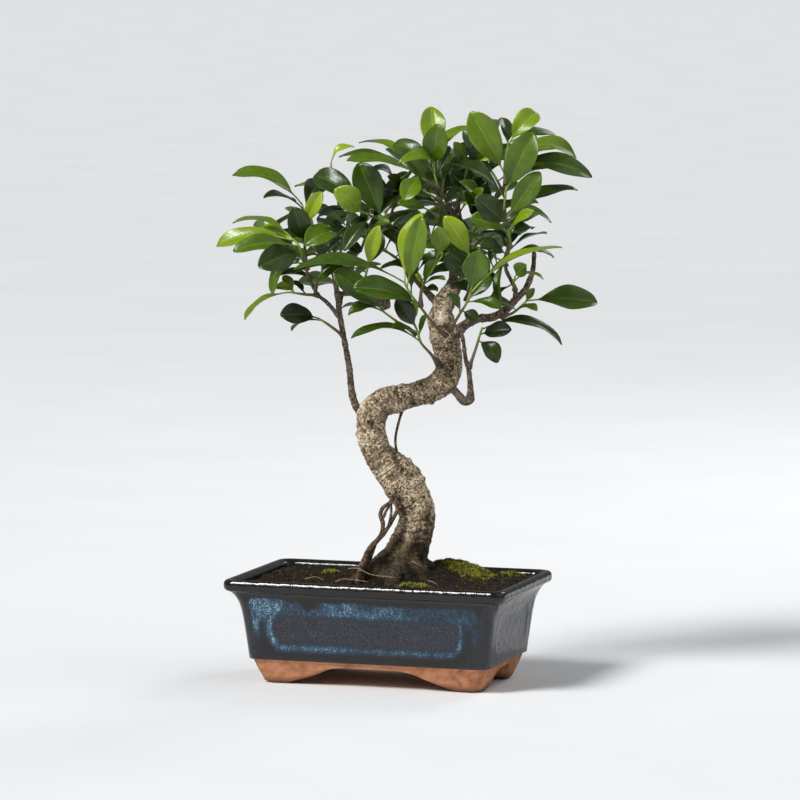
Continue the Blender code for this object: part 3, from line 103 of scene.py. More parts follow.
# %% Camera
camera_data = bpy.data.cameras.new("camera")
camera_data.lens = 232.7
camera_data.sensor_width = 36.0
camera_data.clip_end = 60.0
camera = bpy.data.objects.new("camera", camera_data)
bpy.context.scene.collection.objects.link(camera)
camera.location = turned(EYE_U, EYE_DISTANCE, EYE_HEIGHT) * CM + POT_CENTRE
camera.rotation_euler = (math.pi / 2 - EYE_TILT, 0.0, DRAWING_TURN)
bpy.context.scene.camera = camera
bpy.context.scene.view_settings.view_transform = "Standard"
print("camera stands at", np.round(camera.location, 3))

# %% [markdown]
# ## Helpers for colours and nodes
#
# Colours are written as the hex values that a paint chart would give, and turned into the linear
# values that the shader works with.  One function adds a node, fills its sockets and links it.

# %% Colours and nodes


def linear(hex_colour):
    """sRGB hex to linear RGBA: the display curve undone for each channel."""
    channels = [int(hex_colour[k:k + 2], 16) / 255 for k in (1, 3, 5)]
    straight = [c / 12.92 if c <= 0.04045 else ((c + 0.055) / 1.055) ** 2.4 for c in channels]
    return (*straight, 1.0)


def add(tree, kind, sockets=None, stops=None, **settings):
    """Adds a node: settings are its properties, stops its ramp, sockets values or links."""
    node = tree.nodes.new(kind)
    for key, value in settings.items():
        setattr(node, key, value)
    if stops:
        ramp = node.color_ramp.elements
        while len(ramp) < len(stops):
            ramp.new(1.0)
        for element, (place, colour) in zip(ramp, stops):
            element.position = place
            element.color = linear(colour) if isinstance(colour, str) else (colour,) * 3 + (1.0,)
    for key, value in (sockets or {}).items():
        if isinstance(value, bpy.types.NodeSocket):
            tree.links.new(value, node.inputs[key])
        else:
            node.inputs[key].default_value = value
    return node


def new_material(name):
    """An empty node material and its tree, with one Principled shader to be filled."""
    material = bpy.data.materials.new(name)
    material.use_nodes = True
    return material, material.node_tree, material.node_tree.nodes["Principled BSDF"]


# %% [markdown]
# ## Helpers for surfaces
#
# Every piece is a grid of points with two parameters, one round it and one along it.  The faces
# between the rows follow from the grid's size alone, so a single function serves all of them.
# Extra numbers per point, such as the share of a leaf's width, travel with the mesh as attributes
# and tell the shader where it is.

# %% Surfaces


def skin(rows, columns):
    """Faces of a closed tube whose points are rows of rings, then a pole for each end."""
    ring = np.arange(columns)
    following = (ring + 1) % columns
    low = np.arange(rows - 1)[:, None] * columns
    corners = [low + ring, low + following, low + columns + following, low + columns + ring]
    quads = np.stack(corners, axis=-1).reshape(-1, 4)
    start, end = rows * columns, rows * columns + 1
    last = (rows - 1) * columns
    first_fan = np.stack([0 * ring + start, following, ring], axis=1)
    last_fan = np.stack([last + ring, last + following, 0 * ring + end], axis=1)
    return [quads, first_fan, last_fan]


def capped(rings):
    """Points of a closed tube: its rings, then the middle of the first and of the last one."""
    flat = rings.reshape(-1, rings.shape[-1])
    return np.vstack([flat, rings[0].mean(axis=0), rings[-1].mean(axis=0)])


def joined(shapes):
    """Several shapes as one: points stacked, faces shifted, missing marks filled with nought."""
    names = sorted({name for shape in shapes for name in shape["marks"]})
    starts = np.cumsum([0] + [len(shape["points"]) for shape in shapes])
    marks = {}
    for name in names:
        wide = max(np.ndim(shape["marks"].get(name, 0.0)) for shape in shapes)
        blank = (3,) if wide == 2 else ()
        marks[name] = np.concatenate([
            shape["marks"].get(name, np.zeros((len(shape["points"]), *blank))) for shape in shapes])
    faces = [(block + start, look) for shape, start in zip(shapes, starts)
             for block, look in shape["faces"]]
    return {"points": np.vstack([shape["points"] for shape in shapes]), "faces": faces, "marks": marks}


def add_piece(name, shape, materials, nodes=(), slot=None):
    """Puts a shape into a mesh object that rides on the frame in place of its nodes."""
    mesh = bpy.data.meshes.new(name)
    corners = np.concatenate([block.ravel() for block, _ in shape["faces"]])
    sizes = np.concatenate([np.full(len(block), block.shape[1]) for block, _ in shape["faces"]])
    looks = np.concatenate([np.full(len(block), look) for block, look in shape["faces"]])
    mesh.vertices.add(len(shape["points"]))
    mesh.vertices.foreach_set("co", shape["points"].astype(np.float32).ravel())
    mesh.loops.add(len(corners))
    mesh.loops.foreach_set("vertex_index", corners.astype(np.int32))
    mesh.polygons.add(len(sizes))
    mesh.polygons.foreach_set("loop_start", (np.cumsum(sizes) - sizes).astype(np.int32))
    mesh.polygons.foreach_set("material_index", looks.astype(np.int32))
    for mark, values in shape["marks"].items():
        kind, key = ("FLOAT_VECTOR", "vector") if np.ndim(values) == 2 else ("FLOAT", "value")
        mesh.attributes.new(mark, kind, "POINT").data.foreach_set(key, values.astype(np.float32).ravel())
    mesh.update(calc_edges=True)
    mesh.validate()
    mesh.shade_smooth()
    for material in materials:
        mesh.materials.append(material)
    piece = bpy.data.objects.new(name, mesh)
    bpy.context.scene.collection.objects.link(piece)
    if slot:
        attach(piece, "root")
    if nodes:
        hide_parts(*nodes)
    return piece


def eased(low, high, value):
    """0 below low, 1 above high, and a smooth S between."""
    share = np.clip((value - low) / (high - low), 0, 1)
    return share * share * (3 - 2 * share)


def lumps(points, size, seed=0):
    """Smooth noise from -1 to 1: chance values at the corners of cubes, eased between them."""
    scaled = np.asarray(points) / size
    cell = np.floor(scaled).astype(np.int64)
    part = eased(0, 1, scaled - cell)
    total = np.zeros(len(scaled))
    for corner in np.ndindex(2, 2, 2):
        place = cell + corner
        mixed = place[:, 0] * 73856093 ^ place[:, 1] * 19349663 ^ place[:, 2] * 83492791 ^ seed * 26544357
        mixed = ((mixed ^ mixed >> 13) * 1274126177) & 0x7FFFFFFF
        chance = (mixed >> 9 & 0xFFFF) / 32767.5 - 1
        total += np.prod(np.where(corner, part, 1 - part), axis=1) * chance
    return total


def smooth_rows(rows, spacing):
    """Catmull-Rom curve through rows of numbers, stepped by the distance in their first three."""
    rows = np.array(rows, dtype=float)
    ends = np.vstack([2 * rows[0] - rows[1], rows, 2 * rows[-1] - rows[-2]])
    curve = []
    for a, b, c, d in zip(ends[:-3], ends[1:-2], ends[2:-1], ends[3:]):
        steps = max(1, int(round(np.linalg.norm((c - b)[:3]) / spacing)))
        t = (np.arange(steps) / steps)[:, None]
        curve.append(0.5 * (2 * b + (c - a) * t + (2 * a - 5 * b + 4 * c - d) * t ** 2
                            + (3 * b - a - 3 * c + d) * t ** 3))
    curve.append(rows[-1:])
    return np.vstack(curve)


# %% [markdown]
# ## The pot's form
#
# The real pot is pressed stoneware: a rectangular tray that widens upward, curls out into a
# rolled rim and stands on four low feet.  A box with bevels would miss the wide lazy arches
# between the feet, so the pot is one skin of rounded rectangles.  Each ring is the same walk
# round a rectangle with a corner radius; only its length, width and height change, and in the
# foot band the height also changes along the walk.

# %% Pot sizes in mm
POT_HEIGHT = 75.0
RIM_LENGTH, RIM_WIDTH = 209.0, 128.0
BODY_LENGTH, BODY_WIDTH = 179.0, 103.5
FOOT_LENGTH, FOOT_WIDTH = 162.0, 84.0
FOOT_BAND = 17.3
FOOT_WALL = 9.0
FLOOR_UNDERSIDE, FLOOR_TOP = 14.0, 21.0
INSIDE = [(BODY_LENGTH - 14.0, BODY_WIDTH - 14.0, FLOOR_TOP), (BODY_LENGTH - 8.0, BODY_WIDTH - 8.0, 36.0),
          (RIM_LENGTH - 18.0, RIM_WIDTH - 18.0, POT_HEIGHT - 13.0),
          (RIM_LENGTH - 16.0, RIM_WIDTH - 16.0, POT_HEIGHT - 3.4),
          (RIM_LENGTH - 15.4, RIM_WIDTH - 15.4, POT_HEIGHT - 2.4),
          (RIM_LENGTH - 14.6, RIM_WIDTH - 14.6, POT_HEIGHT - 1.7)]
LONG_ARCH = [(17, 13.5), (26, 12.7), (33, 10.6), (40, 7.4), (48, 4.6), (56, 2.4), (63, 0.0)]
SHORT_ARCH = [(7, 13.4), (12, 11.4), (16, 7.2), (21, 2.6), (25, 0.0)]
DRAIN_RADIUS = 7.5
DRAIN_SPACING = 84.0

# %% One walk round a rounded rectangle
ARC_STEPS = 9
LONG_STEPS = 110
SHORT_STEPS = 64


def walk():
    """Per point of the walk: which corner centre it belongs to and its direction from there."""
    pulls, ways, faces = [], [], []
    for quarter in range(4):
        turn = math.pi / 2 * (quarter + np.arange(ARC_STEPS) / (ARC_STEPS - 1))
        corner = np.array([1 if quarter in (0, 3) else -1, 1 if quarter in (0, 1) else -1])
        following = np.array([-corner[1], corner[0]])
        steps = LONG_STEPS if quarter % 2 == 0 else SHORT_STEPS
        share = (np.arange(1, steps) / steps)[:, None]
        pulls += [np.tile(corner, (ARC_STEPS, 1)), corner + (following - corner) * share]
        way = np.array([math.cos(turn[-1]), math.sin(turn[-1])])
        ways += [np.stack([np.cos(turn), np.sin(turn)], axis=1), np.tile(way, (steps - 1, 1))]
        faces += [np.full(ARC_STEPS, -1), np.full(steps - 1, quarter)]
    return np.vstack(pulls), np.vstack(ways), np.concatenate(faces)


PULL, WAY, FACE = walk()
ON_LONG = (FACE == 0) | (FACE == 2)
ON_SHORT = (FACE == 1) | (FACE == 3)


def rectangle(length, width, corner, height, out=0.0):
    """Points of a ring in mm: corner centres, pushed out by the corner radius and any relief."""
    half = np.stack([length / 2 - corner + 0 * PULL[:, 0], width / 2 - corner + 0 * PULL[:, 0]], axis=-1)
    reach = (corner + out) + 0 * PULL[:, 0]
    plan = PULL * half + WAY * reach[:, None]
    return np.column_stack([plan, height + 0 * PULL[:, 0]])


def arch_height(ring):
    """Height in mm of the pot's lower edge over each point of a ring."""
    long_side = np.interp(np.abs(ring[:, 0]), *zip(*LONG_ARCH))
    short_side = np.interp(np.abs(ring[:, 1]), *zip(*SHORT_ARCH))
    return np.where(ON_LONG, long_side, np.where(ON_SHORT, short_side, 0.0))


print("points in one walk round the pot:", len(PULL))

# %% [markdown]
# ## Relief and glaze on the pot's sides
#
# Each side has a flat panel with round ends, framed by a fine raised line.  The glaze is dark
# iron brown where it ran thin under the rim and over edges.  Where it pooled, along the top of
# the panel and on its lower line, fine crystals turned it milky blue.  The distance from the
# panel's outline is worked out once and drives both the relief and the colour.

# %% Panel and glaze zones
PANEL_LOW, PANEL_HIGH = 26.5, 55.0
PANEL_HALF_LONG, PANEL_HALF_SHORT = 72.0, 36.0
PANEL_CORNER = 11.5


def panel_distance(ring):
    """Signed distance in mm from the panel's outline, negative inside; a rounded box in plan."""
    across = np.where(ON_LONG, np.abs(ring[:, 0]), np.abs(ring[:, 1]))
    reach = np.where(ON_LONG, PANEL_HALF_LONG, PANEL_HALF_SHORT)
    gap_across = across - reach + PANEL_CORNER
    gap_up = np.abs(ring[:, 2] - (PANEL_LOW + PANEL_HIGH) / 2) - (PANEL_HIGH - PANEL_LOW) / 2 + PANEL_CORNER
    outside = np.hypot(np.maximum(gap_across, 0), np.maximum(gap_up, 0))
    distance = outside + np.minimum(np.maximum(gap_across, gap_up), 0) - PANEL_CORNER
    return np.where(ON_LONG | ON_SHORT, distance, 20.0)


def relief(distance):
    """Outward step in mm: the panel stands back 0.5 mm behind a 0.35 mm line."""
    return 0.35 * np.exp(-(distance / 1.0) ** 2) - 0.5 * eased(1.0, -1.2, distance)


# where the dark glaze of the rim runs down over the blue: distance along the side, depth, spread
RUNS = [(-89, 9.0, 3.2), (-42, 7.5, 4.5), (-36, 4.0, 2.0), (-52, 2.0, 3.0), (86, 11.0, 2.2), (93, 5.0, 3.0),
        (12, 1.5, 5.0), (40, 1.2, 7.0)]


def glaze_zones(ring, distance):
    """Strength of the milky blue and of the slate tone at each point of a ring; on the short sides mostly a
    painted reflection.
    """
    along = np.where(ON_LONG, ring[:, 0], ring[:, 1])
    along = np.where(FACE == 0, -along, along)
    height = ring[:, 2]
    noise = np.column_stack([along, 0.4 * height, FACE * 50.0])
    edge = 61.6 + 1.4 * eased(-40, -60, along) + 1.1 * lumps(noise, 9.0, 3) + 0.9 * lumps(noise, 3.5, 4)
    for place, depth, spread in RUNS:
        edge = edge - depth * np.exp(-((along - place) / spread) ** 2)
    under_rim = eased(1.6, -1.6, height - edge)
    upper = eased(46.0, 53.0, height)
    line = np.exp(-((distance + 1.2) / 2.6) ** 2)
    end_zone = eased(66.0, 78.0, np.abs(along)) * eased(28, 40, height)
    brown_ring = np.exp(-((distance - 5.0) / 2.6) ** 2) * eased(49.0, 44.0, height)
    drift = 0.5 + 0.5 * lumps(noise, 14.0, 5)
    blue = np.maximum.reduce([0.95 * upper * (0.62 + 0.38 * drift), (0.6 + 0.4 * drift) * line,
                              (0.75 - 0.2 * (along > 0)) * end_zone])
    blotch = eased(-0.1, 0.75, lumps(noise * (0.22, 1.0, 1.0), 4.0, 8))
    toward_right = 1.12 - 0.28 * eased(-60, 70, along)
    blue = blue * (1 - 0.85 * brown_ring) * under_rim * (1 - 0.4 * blotch) * toward_right
    blue = blue * (1 - 0.6 * eased(-3, -7, distance))
    foot_line = np.exp(-((height - 19.2) / 0.9) ** 2)
    # on the short sides the faint blue away from the foot line and the slate tone are mostly painted
    # reflection, a grey-blue sheen over the dark glaze
    blue = np.where(ON_LONG, np.maximum(blue, 0.7 * foot_line), 0.22 * under_rim * drift + 0.4 * foot_line)
    slate = np.where(ON_LONG, np.maximum(eased(0.5, -3.0, distance), 0.3 * under_rim * (1 - brown_ring)),
                     0.55 * under_rim)
    return np.clip(blue, 0, 1), np.clip(slate, 0, 1)


# %% [markdown]
# ## Throwing the pot's skin
#
# The rows start under the floor, run out and down to the feet, up the outside, over the rim and
# down to the inner floor.  A pole closes each end.  Two round holes for drainage are cut with a
# Boolean, which is the plain tool for a hole that crosses the grid's lines.

# %% Rows of the pot


def outer_rows():
    """Length, width, corner and height of the glazed outside and the rolled rim."""
    wall = [(179.0, 103.5, 8, 17.9), (183.0, 107.0, 8, 36.0), (186.8, 110.2, 8, 50.0),
            (190.2, 113.4, 8, 57.5), (196.0, 118.0, 8, 63.4), (201.6, 122.6, 8, 66.4)]
    roll = [(207.2, 126.4, 8, 67.8), (208.8, 127.8, 8, 70.0), (208.9, 127.9, 8, 71.9),
            (207.4, 126.4, 8, 74.0), (204.0, 123.0, 7.6, 75.0), (199.0, 118.0, 7, 74.8),
            (195.2, 114.2, 6.5, 73.5)]
    return np.vstack([smooth_rows(wall, 1.25)[:-1], smooth_rows(wall[-1:] + roll, 1.0)])


def pot_skin():
    """All rings of the pot from the middle of its underside to the middle of its inner floor."""
    skirt = (FOOT_LENGTH - 2 * FOOT_WALL, FOOT_WIDTH - 2 * FOOT_WALL)
    rings, blues, slates, clay_rows = [], [], [], 0
    for share in (0.02, 0.3, 0.6, 0.85, 0.97, 1.0):
        rings.append(rectangle(skirt[0] * share, skirt[1] * share, 5 * share, FLOOR_UNDERSIDE))
    low = rectangle(*skirt, 5, 0.0)
    edge = arch_height(low)
    for share in (0.25, 0.55, 0.8, 0.95, 1.0):
        rings.append(np.column_stack([low[:, :2], FLOOR_UNDERSIDE + (edge - FLOOR_UNDERSIDE) * share]))
    for share in (0.08, 0.3, 0.6, 0.9):
        length = skirt[0] + (FOOT_LENGTH - skirt[0]) * share
        width = skirt[1] + (FOOT_WIDTH - skirt[1]) * share
        ring = rectangle(length, width,
                         5 + 4 * share, 0.0)
        rings.append(np.column_stack([ring[:, :2], arch_height(ring)]))
    for share in (0.0, 0.07, 0.2, 0.35, 0.5, 0.65, 0.8, 0.92, 1.0):
        foot = rectangle(FOOT_LENGTH, FOOT_WIDTH, 9, 0.0)
        height = arch_height(foot) + (FOOT_BAND - 0.4 - arch_height(foot)) * share
        height = height + 0.8 * (share == 0)
        taper = height / FOOT_BAND
        length, width = FOOT_LENGTH + 13.2 * taper, FOOT_WIDTH + 16.0 * taper
        worn = 0.35 * lumps(np.column_stack([foot[:, :2], height]), 9.0, 8) - 0.8 * (share == 0)
        rings.append(rectangle(length, width, 9, height, worn))
    clay_rows = len(rings)
    marks = np.zeros((clay_rows, len(PULL)))
    blues, slates = list(marks), list(marks)
    for length, width, corner, height in outer_rows():
        ring = rectangle(length, width, corner, height)
        distance = panel_distance(ring)
        blue, slate = glaze_zones(ring, distance)
        body = eased(65.5, 63.0, height)
        uneven = 0.12 * lumps(ring, 22.0, 9) * body
        rings.append(rectangle(length, width, corner, height, relief(distance) * body + uneven))
        blues.append(blue * body)
        slates.append(slate * body)
    for length, width, height in INSIDE[::-1]:
        rings.append(rectangle(length, width, 6, height))
    for share in (0.9, 0.5, 0.02):
        rings.append(rectangle(INSIDE[0][0] * share, INSIDE[0][1] * share, 6 * share, FLOOR_TOP))
    rest = len(rings) - len(blues)
    blues += [0 * blues[0]] * rest
    slates += [0 * slates[0]] * rest
    return np.array(rings), np.array(blues), np.array(slates), clay_rows


rings, blues, slates, clay_rows = pot_skin()
faces = skin(*rings.shape[:2])
below = clay_rows * rings.shape[1]
pot_faces = [(faces[0][:below], 1), (faces[0][below:], 0), (faces[1], 1), (faces[2], 0)]
pot_marks = {"blue": np.append(blues.ravel(), [0, 0]), "slate": np.append(slates.ravel(), [0, 0])}
pot_shape = {"points": potted(capped(rings)), "faces": pot_faces, "marks": pot_marks}
print("pot rings", len(rings), "of them bare clay", clay_rows)

# %% [markdown]
# ## Glaze and bare clay
#
# The glaze is a thick glossy glass, so it is smooth and reflects in crisp spots.  Its colour goes
# from iron brown through slate to milky blue, and the blue breaks up into crystals under a
# millimetre wide, which a fine noise gives.  The clay of the feet is fired terracotta: matt,
# slightly uneven in colour, darker where it was handled.

# %% Pot finishes
def reduction_glaze():
    """Iron glaze with milky blue crystals, dipped and fired: glossy, IOR of glass, no metal."""
    material, tree, shader = new_material("iron_blue_stoneware_glaze_fired")
    place = add(tree, "ShaderNodeTexCoord").outputs["Object"]
    blue = add(tree, "ShaderNodeAttribute", attribute_name="blue").outputs["Fac"]
    slate = add(tree, "ShaderNodeAttribute", attribute_name="slate").outputs["Fac"]
    # crystals about 0.9 mm apart, and streaks that ran down, five times as long as wide
    fine = add(tree, "ShaderNodeTexNoise", {"Vector": place, "Scale": 1100.0, "Detail": 3.0,
                                            "Roughness": 0.7})
    run = add(tree, "ShaderNodeMapping", {"Vector": place, "Scale": (1.0, 1.0, 0.22)})
    streak = add(tree, "ShaderNodeTexNoise", {"Vector": run.outputs["Vector"], "Scale": 420.0, "Detail": 3.0})
    cloud = add(tree, "ShaderNodeTexNoise", {"Vector": place, "Scale": 90.0, "Detail": 2.0})
    grain = add(tree, "ShaderNodeMapRange", {0: fine.outputs["Fac"], 1: 0.36, 2: 0.64, 3: 0.18, 4: 1.35})
    veil = add(tree, "ShaderNodeMapRange", {0: streak.outputs["Fac"], 1: 0.3, 2: 0.7, 3: 0.6, 4: 1.25})
    broken = add(tree, "ShaderNodeMath", {0: blue, 1: grain.outputs[0]}, operation="MULTIPLY")
    broken = add(tree, "ShaderNodeMath", {0: broken.outputs[0], 1: veil.outputs[0]}, operation="MULTIPLY",
                 use_clamp=True)
    body = add(tree, "ShaderNodeValToRGB", {0: cloud.outputs["Fac"]},
               stops=[(0.3, "#0E0C0A"), (0.7, "#1B1713")])
    pool = add(tree, "ShaderNodeValToRGB", {0: fine.outputs["Fac"]},
               stops=[(0.34, "#0E0F14"), (0.5, "#1F2028"), (0.66, "#3E4350")])
    mixed = add(tree, "ShaderNodeMix", {0: slate, 6: body.outputs[0], 7: pool.outputs[0]}, data_type="RGBA")
    milk = add(tree, "ShaderNodeValToRGB", {0: broken.outputs[0]},
               stops=[(0.0, "#0F1A25"), (0.35, "#1E374D"), (0.7, "#3D6078"), (1.0, "#87A3B1")])
    amount = add(tree, "ShaderNodeMapRange", {0: broken.outputs[0], 1: 0.02, 2: 0.42, 3: 0.0, 4: 1.0})
    colour = add(tree, "ShaderNodeMix", {0: amount.outputs[0], 6: mixed.outputs[2], 7: milk.outputs[0]},
                 data_type="RGBA")
    skin_wave = add(tree, "ShaderNodeTexNoise", {"Vector": place, "Scale": 160.0, "Detail": 2.0})
    bump = add(tree, "ShaderNodeBump", {"Height": skin_wave.outputs["Fac"], "Strength": 0.45,
                                        "Distance": 0.0012})
    tree.links.new(colour.outputs[2], shader.inputs["Base Color"])
    tree.links.new(bump.outputs[0], shader.inputs["Normal"])
    shader.inputs["Roughness"].default_value = 0.13
    shader.inputs["IOR"].default_value = 1.5
    return material


def fired_clay():
    """Unglazed red stoneware, wiped with a sponge: matt, with smudges 5 mm wide and fine grit."""
    material, tree, shader = new_material("red_stoneware_clay_unglazed")
    place = add(tree, "ShaderNodeTexCoord").outputs["Object"]
    smudge = add(tree, "ShaderNodeTexNoise", {"Vector": place, "Scale": 110.0, "Detail": 5.0,
                                              "Roughness": 0.6})
    grit = add(tree, "ShaderNodeTexNoise", {"Vector": place, "Scale": 1400.0, "Detail": 2.0})
    colour = add(tree, "ShaderNodeValToRGB", {0: smudge.outputs["Fac"]},
                 stops=[(0.28, "#7A4B31"), (0.42, "#A66D49"), (0.58, "#C08560"), (0.8, "#CF9C79")])
    fleck = add(tree, "ShaderNodeMapRange", {0: grit.outputs["Fac"], 1: 0.3, 2: 0.42, 3: 0.6, 4: 1.0})
    height = add(tree, "ShaderNodeSeparateXYZ", {0: place}).outputs[2]
    ragged = add(tree, "ShaderNodeMath", {0: smudge.outputs["Fac"], 1: -0.006, 2: height},
                 operation="MULTIPLY_ADD")
    # the lowest 2 mm are darker, with a ragged edge
    darker_bottom = add(tree, "ShaderNodeMapRange", {0: ragged.outputs[0], 1: -0.003, 2: 0.003, 3: 0.3, 4: 1.0})
    fleck = add(tree, "ShaderNodeMath", {0: fleck.outputs[0], 1: darker_bottom.outputs[0]}, operation="MULTIPLY")
    flecked = add(tree, "ShaderNodeMix", {0: 1.0, 6: colour.outputs[0], 7: fleck.outputs[0]},
                  data_type="RGBA", blend_type="MULTIPLY")
    bump = add(tree, "ShaderNodeBump", {"Height": smudge.outputs["Fac"], "Strength": 0.5, "Distance": 0.002})
    tree.links.new(flecked.outputs[2], shader.inputs["Base Color"])
    tree.links.new(bump.outputs[0], shader.inputs["Normal"])
    shader.inputs["Roughness"].default_value = 0.85
    return material


glaze, clay = reduction_glaze(), fired_clay()

# %% The pot with its two drain holes
def drilled(piece, places, radius, low, high):
    """Cuts upright round holes through a piece and keeps the result as its own mesh."""
    for x, y in places:
        turn = np.linspace(0, 2 * math.pi, 48, endpoint=False)
        ring = np.stack([x + radius * np.cos(turn), y + radius * np.sin(turn), 0 * turn], axis=1)
        rod = np.array([ring + (0, 0, low), ring + (0, 0, high)])
        shape = {"points": potted(capped(rod)), "faces": [(block, 0) for block in skin(2, 48)], "marks": {}}
        bit = add_piece("drill", shape, [clay])
        cut = piece.modifiers.new("drain_hole", "BOOLEAN")
        cut.object = bit
        cut.solver = "EXACT"
        deps = bpy.context.evaluated_depsgraph_get()
        solid = bpy.data.meshes.new_from_object(piece.evaluated_get(deps))
        piece.modifiers.clear()
        piece.data = solid
        bpy.data.objects.remove(bit, do_unlink=True)


pot = add_piece("glazed_pot", pot_shape, [glaze, clay], ["pot"], "dark_glaze")
drilled(pot, [(-DRAIN_SPACING / 2, 0), (DRAIN_SPACING / 2, 0)], DRAIN_RADIUS, 8.0, 28.0)
print("pot faces", len(pot.data.polygons))

# %% [markdown]
# ## Soil, crumbs and roots on top
#
# Potting soil is dark peat with crumbs up to two millimetres.  The bed is a rounded-rectangle
# grid whose height is a sum of low mounds and two sizes of noise.  Loose crumbs are one small
# twenty-sided stone, repeated with its own turn and size, and fine pale roots lie across the top.

# %% Soil level
SOIL_LEVEL = 71.0                # 3 mm above the frame's bed at the walls, as high at the mounds
MOUNDS = [(10, -5, 9.5, 34.0), (47, -16, 8.0, 24.0), (86, -22, 1.8, 17.0)]
CHANCE = np.random.default_rng(11)


def soil_height(x, y):
    """Height in mm: a bed, a slow wave and one bell-shaped mound for each row of MOUNDS."""
    height = SOIL_LEVEL + 0.7 * np.sin(x / 13.0 + 0.6) * np.cos(y / 11.0)
    for u, w, rise, spread in MOUNDS:
        centre = turned(np.float64(u), np.float64(w), 0.0)
        height = height + rise * np.exp(-((x - centre[0]) ** 2 + (y - centre[1]) ** 2) / spread ** 2)
    return height


def crumbled(points):
    """Height of the crumbly top in mm: the bed with lumps of 9, 4 and 1.6 mm."""
    height = soil_height(points[:, 0], points[:, 1])
    flat = np.column_stack([points[:, :2], 0 * height])
    return height + 1.1 * lumps(flat, 9.0, 1) + 0.8 * lumps(flat, 4.0, 2) + 0.45 * lumps(flat, 1.6, 3)


def soil_bed():
    """Closed body: up inside the pot from its floor, then rings that shrink to the middle."""
    heights = [row[2] for row in INSIDE]
    rings = []
    for z in (FLOOR_TOP + 2.0, 36.0, SOIL_LEVEL - 3.5):
        length = np.interp(z, heights, [row[0] for row in INSIDE]) - 0.9
        width = np.interp(z, heights, [row[1] for row in INSIDE]) - 0.9
        rings.append(rectangle(length, width, 6, z))
    rim = rings[-1]
    for share in np.linspace(0.995, 0.01, 72):
        ring = rim * (share, share, 1)
        top = crumbled(ring) - 1.2 * (share > 0.99)
        rings.append(np.column_stack([ring[:, :2], top]))
    return np.array(rings)


bed = soil_bed()
bed_shape = {"points": potted(capped(bed)), "faces": [(block, 0) for block in skin(*bed.shape[:2])],
             "marks": {}}
print("soil points", len(bed_shape["points"]))

# %% Crumbs
GOLDEN = (1 + 5 ** 0.5) / 2
STONE_POINTS = np.array([(-1, GOLDEN, 0), (1, GOLDEN, 0), (-1, -GOLDEN, 0), (1, -GOLDEN, 0),
                         (0, -1, GOLDEN), (0, 1, GOLDEN), (0, -1, -GOLDEN), (0, 1, -GOLDEN),
                         (GOLDEN, 0, -1), (GOLDEN, 0, 1), (-GOLDEN, 0, -1), (-GOLDEN, 0, 1)]) / 1.9
STONE_FACES = np.array([(0, 11, 5), (0, 5, 1), (0, 1, 7), (0, 7, 10), (0, 10, 11), (1, 5, 9), (5, 11, 4),
                        (11, 10, 2), (10, 7, 6), (7, 1, 8), (3, 9, 4), (3, 4, 2), (3, 2, 6), (3, 6, 8),
                        (3, 8, 9), (4, 9, 5), (2, 4, 11), (6, 2, 10), (8, 6, 7), (9, 8, 1)])


def repeated(points, faces, places, sizes, stretch, mark):
    """Copies of one small shape: each gets its own turn, its size and a stretch, then its place."""
    turns = CHANCE.normal(size=(len(places), 3, 3))
    turns = np.linalg.qr(turns)[0]
    turns *= np.sign(np.linalg.det(turns))[:, None, None]
    wide = points[None] * (sizes[:, None] * stretch)[:, None, :]
    copies = np.einsum("nij,nkj->nki", turns, wide) + places[:, None]
    steps = (np.arange(len(places)) * len(points))[:, None, None]
    shade = np.repeat(CHANCE.uniform(size=len(places)), len(points))
    return {"points": potted(copies.reshape(-1, 3)), "faces": [((faces[None] + steps).reshape(-1, 3), 0)],
            "marks": {mark: shade}}


def scattered(count, centre, reach):
    """Chance places on the soil in mm, within a rectangle about a centre."""
    x = centre[0] + reach[0] * CHANCE.uniform(-1, 1, count)
    y = centre[1] + reach[1] * CHANCE.uniform(-1, 1, count)
    flat = np.column_stack([x, y, 0 * x])
    return np.column_stack([x, y, crumbled(flat)])


crumb_places = scattered(2600, (0, 0), (92.0, 53.5))
crumb_sizes = 0.45 + 1.0 * CHANCE.uniform(size=2600) ** 2.5
crumbs = repeated(STONE_POINTS, STONE_FACES, crumb_places, crumb_sizes,
                  CHANCE.uniform(0.6, 1.3, (2600, 3)), "shade")
print("crumbs", len(crumb_places))

# %% [markdown]
# ## Rods: roots, twigs and branches
#
# Anything that grew as a rod is a circle carried along a path.  The circle's sideways direction
# is passed from ring to ring and kept square to the path, so the grid doesn't twist.  The rod
# also records its own straightened coordinates, as if it were unrolled, for patterns that follow
# the bark: two numbers round it and one along it.

# %% Rod
def carried(places):
    """Unit vectors along a path and two across it, passed on from point to point."""
    ahead = np.gradient(places, axis=0)
    ahead /= np.linalg.norm(ahead, axis=1)[:, None]
    sides = [np.cross(ahead[0], (0.3, 0.9, 0.2))]
    for along in ahead:
        side = sides[-1] - along * np.dot(sides[-1], along)
        sides.append(side / np.linalg.norm(side))
    sides = np.array(sides[1:])
    return ahead, sides, np.cross(ahead, sides)


def drawn_path(rows, spacing):
    """Smooth path through drawn rows of u, v, w, radius in cm, as places and radii in metres."""
    curve = smooth_rows(rows, spacing)
    return at(curve[:, 0], curve[:, 1], curve[:, 2]), curve[:, 3] * CM


